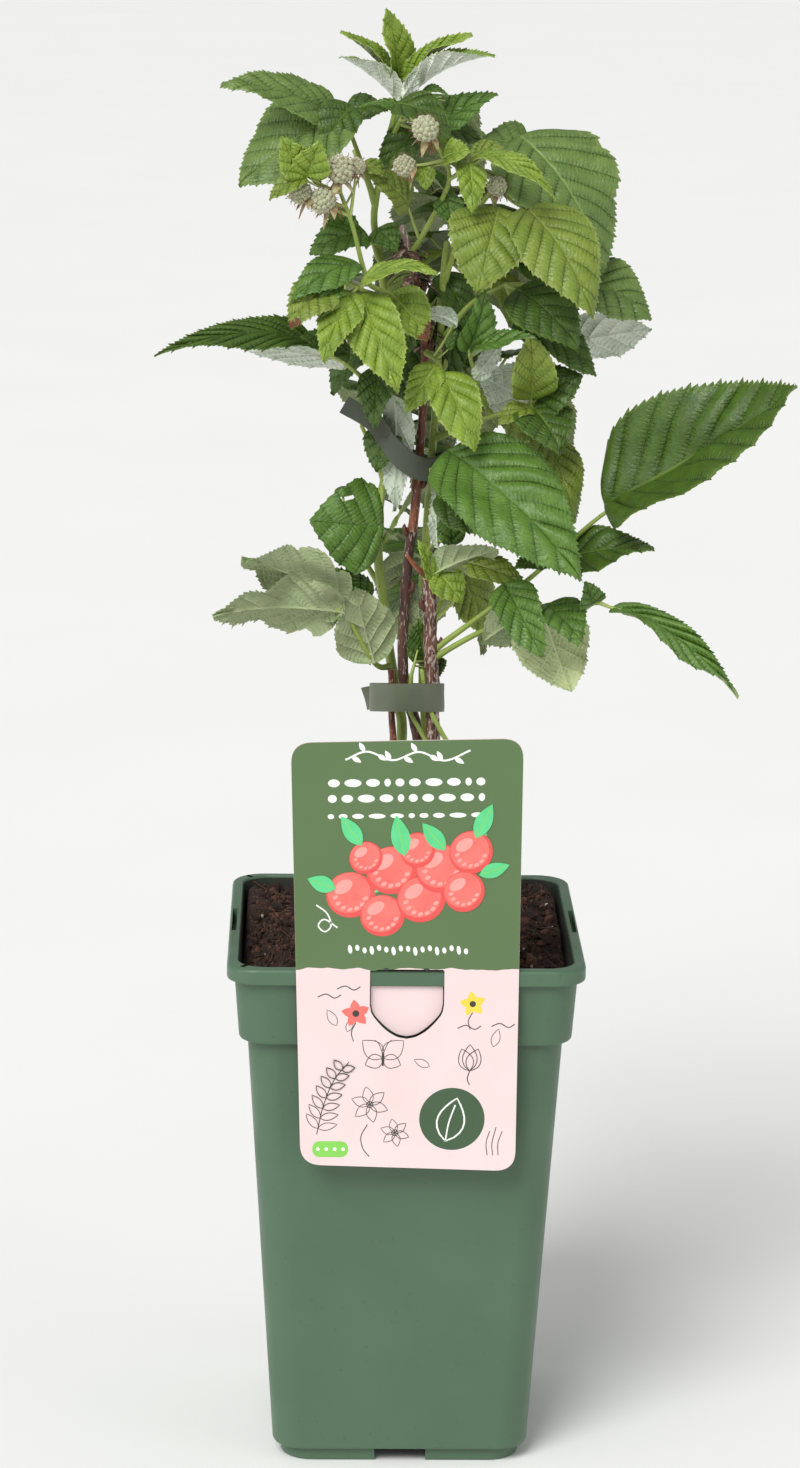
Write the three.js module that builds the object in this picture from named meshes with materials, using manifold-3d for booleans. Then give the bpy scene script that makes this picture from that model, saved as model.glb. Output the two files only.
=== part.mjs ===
// A raspberry cane in a square nursery pot, in millimetres, with Z up and the front along -Y.
// The origin is the centre of the pot's underside, on the surface that it stands on.
import * as THREE from "three";
import { mergeVertices } from "three/addons/utils/BufferGeometryUtils.js";
import Module from "manifold-3d";

const wasm = await Module();
wasm.setup();

// ---------------------------------------------------------------- driving sizes

const GAP = 0.3; // clear distance between pieces that touch on the real plant

const POT = {
  height: 258.8,
  rimHalf: 85,
  rimBand: 8,
  mouthHalf: 79.5,
  collarTopHalf: 81.4,
  collarFootHalf: 79.4,
  collarHeight: 31,
  bodyTopHalf: 75.3,
  bodyFootHalf: 62.5,
  wall: 2,
  corner: 15,
  footHeight: 7,
  footInset: 4,
  footGap: 25,
  floor: 3,
  padRadius: 8,
  drainRadius: 5,
  drainPlace: 0.6,
};

const RIM_SLOT = { long: 38, wide: 2.3, middle: 82.7 };

const SOIL = {
  level: 247,
  edgeDrop: 4,
  ringShares: [0.93, 0.84, 0.74, 0.64],
  flatShare: 0.5,
  lumps: 1.6,
  seed: 7,
};

const LABEL = {
  thick: 0.6,
  face: POT.rimHalf + GAP,
  top: 370.4,
  foot: 164,
  topHalf: 54,
  footHalf: 51,
  lean: 1.4,
  corner: 10,
  tongueHalf: 17,
  tongueTipHalf: 5,
  tongueTip: 226,
  tongueBack: 82.3,
};

// Each tie is an oval loop, which slopes from side to side by a share of its width.
const TIES = {
  tie_lower: { middle: [-0.5, -0.5, 373.5], halfWide: 17, halfDeep: 13, slope: 0, wide: 13 },
  tie_upper: { middle: [1, 3, 494], halfWide: 17, halfDeep: 13, slope: -0.75, wide: 10 },
};
const TIE_THICK = 1.2;
const TIE_SIDES = 16;
const TIE_TAIL = [[-12, -7, 505], [-19, -10, 512], [-31, -12, 515]]; // the upper tie's free end

// Where a blade's cross-sections lie along it, by the least length that they serve.
const LEAF_STATIONS = [
  [72, [0.06, 0.22, 0.44, 0.68, 0.88]],
  [48, [0.08, 0.32, 0.6, 0.85]],
  [0, [0.15, 0.45, 0.78]],
];
// How a blade's outline rounds at the foot and narrows to the tip, and the greatest such product.
const OVATE = { foot: 0.45, tip: 0.72, peak: 0.4585 };
const LEAF_THICKNESS = 0.02; // share of the blade's length, at the midrib
const LEAF_LEAST_THICKNESS = 1.2;
const STALK_RADIUS = 0.9;
const SHOOT_RADIUS = 1.6;
const TIP_SHARE = 0.6; // a shoot's radius at its tip, as a share of that at its foot
const PAIR_PLACE = 0.55; // how far along a leaf's stalk its pair of side leaflets stands
const STALK_SUNK = 0.07; // how far a stalk runs on inside its blade, as a share of the blade
const CANE_SIDES = 7;
const SLIVER = 0.04; // the finest step that a fused mass keeps

const COLOURS = {
  pot: [0x5c7d64, 0.5],
  soil: [0x2e211b, 0.95],
  label: [0x6a8258, 0.55],
  tie: [0x59604f, 0.5],
  bark: [0x5a4034, 0.85],
  oldBark: [0x7d6a60, 0.9],
  greenStem: [0x75904f, 0.6],
  foliage: [0x55803a, 0.6],
};

// ---------------------------------------------------------------- solids

const material = ([color, roughness]) =>
  new THREE.MeshStandardMaterial({ color, roughness, metalness: 0 });

// A three.js geometry as a manifold-3d solid.
function solid(geometry) {
  const bare = geometry.index ? geometry.toNonIndexed() : geometry.clone();
  bare.deleteAttribute("normal");
  bare.deleteAttribute("uv");
  const merged = mergeVertices(bare, 1e-3);
  return new wasm.Manifold(
    new wasm.Mesh({
      numProp: 3,
      vertProperties: merged.attributes.position.array,
      triVerts: new Uint32Array(merged.index.array),
    }),
  );
}

// A manifold-3d solid as a three.js geometry.
function geometryOf(body) {
  const mesh = body.getMesh();
  const places = new Float32Array(mesh.numVert * 3);
  for (let i = 0; i < mesh.numVert; i++) {
    const at = i * mesh.numProp;
    places.set(mesh.vertProperties.subarray(at, at + 3), i * 3);
  }
  const geometry = new THREE.BufferGeometry();
  geometry.setAttribute("position", new THREE.BufferAttribute(places, 3));
  geometry.setIndex(new THREE.BufferAttribute(mesh.triVerts, 1));
  geometry.computeVertexNormals();
  return geometry;
}

// A closed skin over rings of points that all have the same count, with a fan over each end.
function loft(rings) {
  const count = rings[0].length;
  const points = rings.flat();
  const middles = [rings[0], rings[rings.length - 1]].map((ring) =>
    ring.reduce((sum, p) => sum.clone().add(p), new THREE.Vector3()).divideScalar(count),
  );
  const first = points.length;
  points.push(...middles);
  const faces = [];
  for (let r = 0; r + 1 < rings.length; r++) {
    for (let i = 0; i < count; i++) {
      const a = r * count + i;
      const b = r * count + ((i + 1) % count);
      faces.push(a, b, b + count, a, b + count, a + count);
    }
  }
  const last = (rings.length - 1) * count;
  for (let i = 0; i < count; i++) {
    const next = (i + 1) % count;
    faces.push(first, next, i);
    faces.push(first + 1, last + i, last + next);
  }
  const geometry = new THREE.BufferGeometry();
  geometry.setFromPoints(points);
  geometry.setIndex(faces);
  return geometry;
}

// A level ring of points round a square with rounded corners, anticlockwise from above.
function squareRing(half, z, corner = POT.corner, steps = 3) {
  const ring = [];
  const reach = half - corner;
  for (let side = 0; side < 4; side++) {
    const turn = (side * Math.PI) / 2;
    const middle = new THREE.Vector2(reach, reach).rotateAround(new THREE.Vector2(), turn);
    for (let step = 0; step <= steps; step++) {
      const angle = turn + (step / steps) * (Math.PI / 2);
      ring.push(
        new THREE.Vector3(middle.x + corner * Math.cos(angle), middle.y + corner * Math.sin(angle), z),
      );
    }
  }
  return ring;
}

const squareLoft = (profile) =>
  solid(loft(profile.map(([half, z, corner]) => squareRing(half, z, corner))));

// A box between two corners.
function block([x0, y0, z0], [x1, y1, z1]) {
  const box = new THREE.BoxGeometry(x1 - x0, y1 - y0, z1 - z0);
  return solid(box.translate((x0 + x1) / 2, (y0 + y1) / 2, (z0 + z1) / 2));
}

// An upright round post with its foot at z0.
function post(radius, x, y, z0, z1) {
  const cylinder = new THREE.CylinderGeometry(radius, radius, z1 - z0, 12);
  return solid(cylinder.rotateX(Math.PI / 2).translate(x, y, (z0 + z1) / 2));
}

// Each corner of a path with the direction of travel and a side that never twists.
function frames(path) {
  const travel = path.map((point, i) => {
    const before = path[Math.max(i - 1, 0)];
    const after = path[Math.min(i + 1, path.length - 1)];
    return after.clone().sub(before).normalize();
  });
  const start = Math.abs(travel[0].z) < 0.9 ? new THREE.Vector3(0, 0, 1) : new THREE.Vector3(1, 0, 0);
  let side = start.cross(travel[0]).normalize();
  return path.map((point, i) => {
    side = side.clone().addScaledVector(travel[i], -side.dot(travel[i])).normalize();
    return { point, travel: travel[i], side, other: travel[i].clone().cross(side) };
  });
}

// A tapering limb with the given number of sides along a path of points.
function limb(path, startRadius, endRadius, sides) {
  const rings = frames(path).map(({ point, side, other }, i) => {
    const radius = THREE.MathUtils.lerp(startRadius, endRadius, i / (path.length - 1));
    return Array.from({ length: sides }, (unused, k) => {
      const angle = (2 * Math.PI * k) / sides;
      return point
        .clone()
        .addScaledVector(side, radius * Math.cos(angle))
        .addScaledVector(other, radius * Math.sin(angle));
    });
  });
  return solid(loft(rings));
}

// The rings of a flat band along a path, its width held upright.
function ribbon(path, wide, thick, closed) {
  const count = path.length;
  return path.map((point, i) => {
    const before = closed ? path[(i + count - 1) % count] : path[Math.max(i - 1, 0)];
    const after = closed ? path[(i + 1) % count] : path[Math.min(i + 1, count - 1)];
    const travel = after.clone().sub(before).normalize();
    const rise = new THREE.Vector3(0, 0, 1).addScaledVector(travel, -travel.z).normalize();
    const out = travel.clone().cross(rise);
    const corners = [[-1, -1], [1, -1], [1, 1], [-1, 1]];
    return corners.map(([u, v]) =>
      point.clone().addScaledVector(rise, (u * wide) / 2).addScaledVector(out, (v * thick) / 2),
    );
  });
}

// ---------------------------------------------------------------- pot, soil, label and ties

const collarTop = POT.height - POT.rimBand;
const collarFoot = collarTop - POT.collarHeight;

// The hollow of the pot, or what fills it when it is shrunk by a clearance.
function potHollow(shrink, top) {
  const rise = (collarFoot - POT.footHeight) / (POT.bodyTopHalf - POT.bodyFootHalf);
  const floorTop = POT.footHeight + POT.floor;
  const floorHalf = POT.bodyFootHalf - POT.wall + POT.floor / rise;
  const throatHalf = POT.bodyTopHalf - POT.wall;
  const shoulder = collarFoot + POT.wall;
  const innerCollar = POT.collarFootHalf - POT.wall;
  const share = (top - shoulder) / (POT.height - shoulder);
  const topHalf = THREE.MathUtils.lerp(innerCollar, POT.mouthHalf, share);
  return [
    [floorHalf - shrink, floorTop + shrink, POT.corner - POT.wall],
    [throatHalf - shrink, collarFoot, POT.corner - POT.wall],
    [innerCollar - shrink * 2, shoulder + shrink, POT.corner - POT.wall],
    [topHalf - shrink, top, POT.corner - POT.wall],
  ];
}

function makePot() {
  const skirt = 1.2; // rounding of the collar's lower edge
  const outside = squareLoft([
    [POT.bodyFootHalf - 1.5, POT.footHeight, POT.corner],
    [POT.bodyFootHalf, POT.footHeight + 2, POT.corner],
    [POT.bodyTopHalf, collarFoot, POT.corner],
    [POT.collarFootHalf - skirt, collarFoot + 0.1, POT.corner],
    [POT.collarFootHalf, collarFoot + skirt * 2, POT.corner],
    [POT.collarTopHalf, collarTop, POT.corner],
    [POT.rimHalf, collarTop + 0.1, POT.corner],
    [POT.rimHalf, POT.height - 1, POT.corner],
    [POT.rimHalf - 0.8, POT.height, POT.corner],
  ]);
  const hollow = squareLoft([
    ...potHollow(0, POT.height),
    [POT.mouthHalf, POT.height + 1, POT.corner - POT.wall],
  ]);
  const footHalf = POT.bodyFootHalf - POT.footInset;
  const footTop = POT.footHeight + POT.floor / 2;
  const gap = POT.footGap / 2;
  const feet = squareLoft([
    [footHalf - 1.5, 0, POT.corner],
    [footHalf, 1.5, POT.corner],
    [footHalf, footTop, POT.corner],
  ])
    .subtract(block([-gap, -POT.rimHalf, -1], [gap, POT.rimHalf, POT.footHeight]))
    .subtract(block([-POT.rimHalf, -gap, -1], [POT.rimHalf, gap, POT.footHeight]));
  const pad = post(POT.padRadius, 0, 0, 0, footTop);
  const { long, wide, middle } = RIM_SLOT;
  const slot = block(
    [-long / 2, -middle - wide / 2, collarTop - 1],
    [long / 2, -middle + wide / 2, POT.height + 1],
  );
  const drain = post(POT.drainRadius, 0, -footHalf * POT.drainPlace, 0, POT.footHeight * 3);
  let pot = outside.subtract(hollow).add(feet).add(pad);
  for (let side = 0; side < 4; side++) {
    pot = pot.subtract(slot.add(drain).rotate([0, 0, side * 90]));
  }
  return pot;
}

function makeSoil() {
  const profile = potHollow(GAP, SOIL.level - SOIL.edgeDrop);
  const rings = profile.map(([half, z, corner]) => squareRing(half, z, corner));
  const edge = profile[profile.length - 1][0];
  const roll = dice(SOIL.seed);
  for (const share of SOIL.ringShares) {
    const ring = squareRing(edge * share, SOIL.level, POT.corner * share);
    rings.push(ring.map((p) => p.clone().setZ(SOIL.level - 1 + SOIL.lumps * (roll() * 2 - 1))));
  }
  rings.push(squareRing(edge * SOIL.flatShare, SOIL.level, POT.corner * SOIL.flatShare));
  return solid(loft(rings));
}

// The card's outline with rounded corners, as a three.js shape in X and Z.
function cardShape() {
  const { top, foot, topHalf, footHalf, lean, corner } = LABEL;
  const corners = [
    new THREE.Vector2(-footHalf + lean, foot + lean),
    new THREE.Vector2(footHalf + lean, foot - lean),
    new THREE.Vector2(topHalf - lean, top + lean),
    new THREE.Vector2(-topHalf - lean, top - lean),
  ];
  const shape = new THREE.Shape();
  corners.forEach((point, i) => {
    const before = corners[(i + 3) % 4];
    const after = corners[(i + 1) % 4];
    const enter = point.clone().lerp(before, corner / point.distanceTo(before));
    const leave = point.clone().lerp(after, corner / point.distanceTo(after));
    if (i === 0) shape.moveTo(enter.x, enter.y);
    else shape.lineTo(enter.x, enter.y);
    shape.quadraticCurveTo(point.x, point.y, leave.x, leave.y);
  });
  shape.closePath();
  return shape;
}

// The tongue that is cut out of the card and hooks over the rim, as a shape in X and Z.
function tongueShape(extra, top) {
  const { tongueHalf, tongueTipHalf, tongueTip } = LABEL;
  const shape = new THREE.Shape();
  const shoulder = THREE.MathUtils.lerp(tongueTip, collarTop, 0.65);
  shape.moveTo(-tongueHalf - extra, top);
  shape.lineTo(-tongueHalf - extra, shoulder);
  shape.lineTo(-tongueTipHalf - extra, tongueTip + 2 - extra);
  shape.quadraticCurveTo(0, tongueTip - 2 - extra, tongueTipHalf + extra, tongueTip + 2 - extra);
  shape.lineTo(tongueHalf + extra, shoulder);
  shape.lineTo(tongueHalf + extra, top);
  shape.closePath();
  return shape;
}

// A shape in X and Z given a thickness towards -Y, with its back at y = -back.
function plate(shape, back, thick, curveSegments = 5) {
  const geometry = new THREE.ExtrudeGeometry(shape, { depth: thick, bevelEnabled: false, curveSegments });
  return solid(geometry.rotateX(Math.PI / 2).translate(0, -back, 0));
}

function makeLabel() {
  const { thick, face, tongueHalf, tongueBack } = LABEL;
  const rest = POT.height + GAP;
  const card = plate(cardShape(), face, thick);
  const cut = plate(tongueShape(0.5, rest), face - 1, thick + 2);
  const tongue = plate(tongueShape(0, rest + thick), tongueBack, thick);
  const bridge = block([-tongueHalf, -face - thick, rest], [tongueHalf, -tongueBack, rest + thick]);
  return card.subtract(cut).add(tongue).add(bridge);
}

// A tie's band, made as two halves that meet and fuse, thickened by a clearance.
function makeTie({ middle: [x, y, z], halfWide, halfDeep, slope, wide }, clearance = 0) {
  const path = Array.from({ length: TIE_SIDES }, (unused, i) => {
    const angle = (2 * Math.PI * i) / TIE_SIDES;
    const across = halfWide * Math.cos(angle);
    return new THREE.Vector3(x + across, y + halfDeep * Math.sin(angle), z + slope * across);
  });
  const rings = ribbon(path, wide + 2 * clearance, TIE_THICK + 2 * clearance, true);
  const half = TIE_SIDES / 2;
  const back = rings.slice(0, half + 1);
  const front = [...rings.slice(half), rings[0]];
  return solid(loft(back)).add(solid(loft(front)));
}

// ---------------------------------------------------------------- canes

// Each cane is listed from the soil up, as the points it passes and its radius at foot and tip.
const CANES = {
  cane_main: {
    bark: "bark",
    radii: [3.4, 2.0],
    path: [
      [15, 4, 240], [11, 3, 290], [6, 1, 350], [-1, 0, 375], [-2, 0, 400], [-1, 0, 424], [0, 0, 441],
      [2, 0, 458], [4, 0, 478], [5, 0, 497], [6, 0, 516], [7, 0, 531], [6, 0, 550], [3, 0, 569],
      [-1, 0, 585], [-5, 0, 598],
    ],
  },
  cane_old: {
    bark: "oldBark",
    radii: [3.8, 3.1],
    path: [
      [24, -8, 240], [20, -7, 300], [17, -6, 350], [15, -6, 372], [13, -6, 396], [11, -6, 420],
      [10, -6, 431],
    ],
  },
  cane_twig: {
    bark: "bark",
    radii: [1.6, 1.1],
    path: [[8.5, -6, 432.6], [4, -6.5, 436], [-1, -6, 442]],
  },
  cane_stub: {
    bark: "bark",
    radii: [2.2, 1.6],
    path: [[-12, 6, 240], [-9, 4, 310], [-7, 2, 347], [-8, 2, 362], [-8, 3, 384]],
  },
  young_cane_left: {
    bark: "greenStem",
    radii: [3.0, 1.5],
    path: [
      [-3, 16, 240], [-2, 12, 300], [-2, 9, 350], [-4, 9, 366], [-8, 9, 393], [-12, 8, 418], [-14, 7, 437],
      [-14, 6, 459], [-11, 6, 483], [-9, 7, 505], [-10, 7, 534], [-13, 6, 563], [-16, 6, 586],
      [-18, 6, 602], [-15, 6, 624], [-11, 6, 640],
    ],
  },
  young_cane_right: {
    bark: "greenStem",
    radii: [2.8, 1.6],
    path: [
      [10, 18, 240], [10, 14, 300], [10, 10, 350], [9, 8, 372], [8, 8, 408], [8, 8, 445], [10, 8, 467],
      [12, 8, 496], [13, 8, 520], [14, 8, 549], [15, 7, 577], [16, 6, 590],
    ],
  },
  slender_stem_front: {
    bark: "greenStem",
    radii: [1.3, 1.1],
    path: [[16, -14, 240], [12, -9, 348], [6, -7, 358], [1, -7, 366], [2, -7, 384]],
  },
  slender_stem_right: {
    bark: "greenStem",
    radii: [1.3, 1.1],
    path: [[34, -16, 240], [24, -13, 345], [15, -12.5, 358], [8, -8, 370], [7, -7, 386]],
  },
};

const points = (list) => list.map((p) => new THREE.Vector3(...p));

// The cane's solid, thickened by a clearance, or its true size for none.
function caneSolid({ radii, path }, clearance = 0) {
  const [low, high] = radii;
  const body = limb(points(path), low + clearance, high + clearance, CANE_SIDES);
  return body.trimByPlane([0, 0, 1], SOIL.level + GAP - clearance);
}

// ---------------------------------------------------------------- leaves

// A direction from its heading (0 is the front, 90 the right) and its rise above level, in degrees.
function aim(heading, rise) {
  const turn = THREE.MathUtils.degToRad(heading);
  const lift = THREE.MathUtils.degToRad(rise);
  return new THREE.Vector3(
    Math.sin(turn) * Math.cos(lift),
    -Math.cos(turn) * Math.cos(lift),
    Math.sin(lift),
  );
}

// One leaflet. It stands at a place along its shoot (2.5 is halfway along the third leg), on a stalk
// with a heading, a rise and a length. Its blade has those and a width, and its upper face is turned
// about the midrib by roll. arch lifts the midrib by a share of its length, fold raises both halves.
// pair lists blades that grow from the stalk a little before its end.
const leaf = (at, stalk, blade, roll, arch, fold, tint, pair = []) => ({
  at, stalk, blade, roll, arch, fold, tint, pair,
});

// One berry, at a place along its shoot, on a stalk with a heading, a rise and a length.
const berry = (at, stalk, radius) => ({ at, stalk, radius });

// The blade's frame: along the midrib, across it, and up out of the upper face.
function bladeFrame([heading, rise], roll) {
  const along = aim(heading, rise);
  const up = new THREE.Vector3(0, 0, 1).addScaledVector(along, -along.z).normalize();
  const across = along.clone().cross(up);
  const turn = THREE.MathUtils.degToRad(roll);
  const face = up.clone().multiplyScalar(Math.cos(turn)).addScaledVector(across, Math.sin(turn));
  return { along, across: along.clone().cross(face), face };
}

// Half the width of a blade, as a share of its widest, at v from foot to tip.
const ovate = (v) => (v ** OVATE.foot * (1 - v) ** OVATE.tip) / OVATE.peak;

// A lens-shaped blade that is thickest at the midrib and closes to a point at both ends.
function bladeSolid(foot, { blade, roll, arch, fold }) {
  const [, , long, wide] = blade;
  const { along, across, face } = bladeFrame(blade, roll);
  const lift = THREE.MathUtils.degToRad(fold);
  const thick = Math.max(LEAF_LEAST_THICKNESS, LEAF_THICKNESS * long);
  const midrib = (v) =>
    foot.clone().addScaledVector(along, v * long).addScaledVector(face, arch * long * 4 * v * (1 - v));
  const [, stations] = LEAF_STATIONS.find(([least]) => long >= least);
  const vertices = [midrib(0)];
  for (const v of stations) {
    const half = (wide / 2) * ovate(v);
    const middle = midrib(v);
    const edge = (way) =>
      middle
        .clone()
        .addScaledVector(across, way * half * Math.cos(lift))
        .addScaledVector(face, half * Math.sin(lift));
    vertices.push(
      edge(-1),
      middle.clone().addScaledVector(face, thick / 2),
      edge(1),
      middle.clone().addScaledVector(face, -thick / 2),
    );
  }
  vertices.push(midrib(1));
  const tip = vertices.length - 1;
  const faces = [];
  const rings = stations.length;
  for (let k = 0; k < 4; k++) {
    const next = (k + 1) % 4;
    faces.push(0, 1 + next, 1 + k);
    for (let r = 0; r + 1 < rings; r++) {
      const a = 1 + r * 4 + k;
      const b = 1 + r * 4 + next;
      faces.push(a, b, b + 4, a, b + 4, a + 4);
    }
    faces.push(tip - 4 + k, tip - 4 + next, tip);
  }
  const geometry = new THREE.BufferGeometry();
  geometry.setFromPoints(vertices);
  geometry.setIndex(faces);
  return solid(geometry);
}

// The corners of a shoot from its foot and the heading, rise and length of each leg.
function shootPath({ foot, legs }) {
  const path = [new THREE.Vector3(...foot)];
  for (const [heading, rise, long] of legs) {
    path.push(path[path.length - 1].clone().addScaledVector(aim(heading, rise), long));
  }
  return path;
}

// The point at a place along a path of straight legs.
function along(path, at) {
  const leg = Math.min(Math.floor(at), path.length - 2);
  return path[leg].clone().lerp(path[leg + 1], at - leg);
}

// A three-sided stalk that ends inside the blade or berry that it carries.
const stalkSolid = (from, to, radius) => limb([from, to], radius * 1.2, radius * TIP_SHARE, 3);

function leafSolid(path, spec) {
  const [heading, rise, long] = spec.stalk;
  const from = along(path, spec.at);
  const foot = from.clone().addScaledVector(aim(heading, rise), long);
  const { along: way, face } = bladeFrame(spec.blade, spec.roll);
  const sunk = foot
    .clone()
    .addScaledVector(way, STALK_SUNK * spec.blade[2])
    .addScaledVector(face, 4 * STALK_SUNK * (1 - STALK_SUNK) * spec.arch * spec.blade[2]);
  const radius = Math.min(STALK_RADIUS, 0.3 + spec.blade[2] / 60);
  const node = from.clone().lerp(foot, PAIR_PLACE);
  const pair = spec.pair.map((blade) => bladeSolid(node, { ...spec, blade }));
  return wasm.Manifold.union([stalkSolid(from, sunk, radius), bladeSolid(foot, spec), ...pair]);
}

function berrySolid(path, { at, stalk, radius }) {
  const [heading, rise, long] = stalk;
  const from = along(path, at);
  const middle = from.clone().addScaledVector(aim(heading, rise), long);
  const ball = new THREE.SphereGeometry(radius, 6, 4);
  const core = solid(ball.rotateX(Math.PI / 2).translate(middle.x, middle.y, middle.z));
  return stalkSolid(from, middle, STALK_RADIUS).add(core);
}

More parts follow.
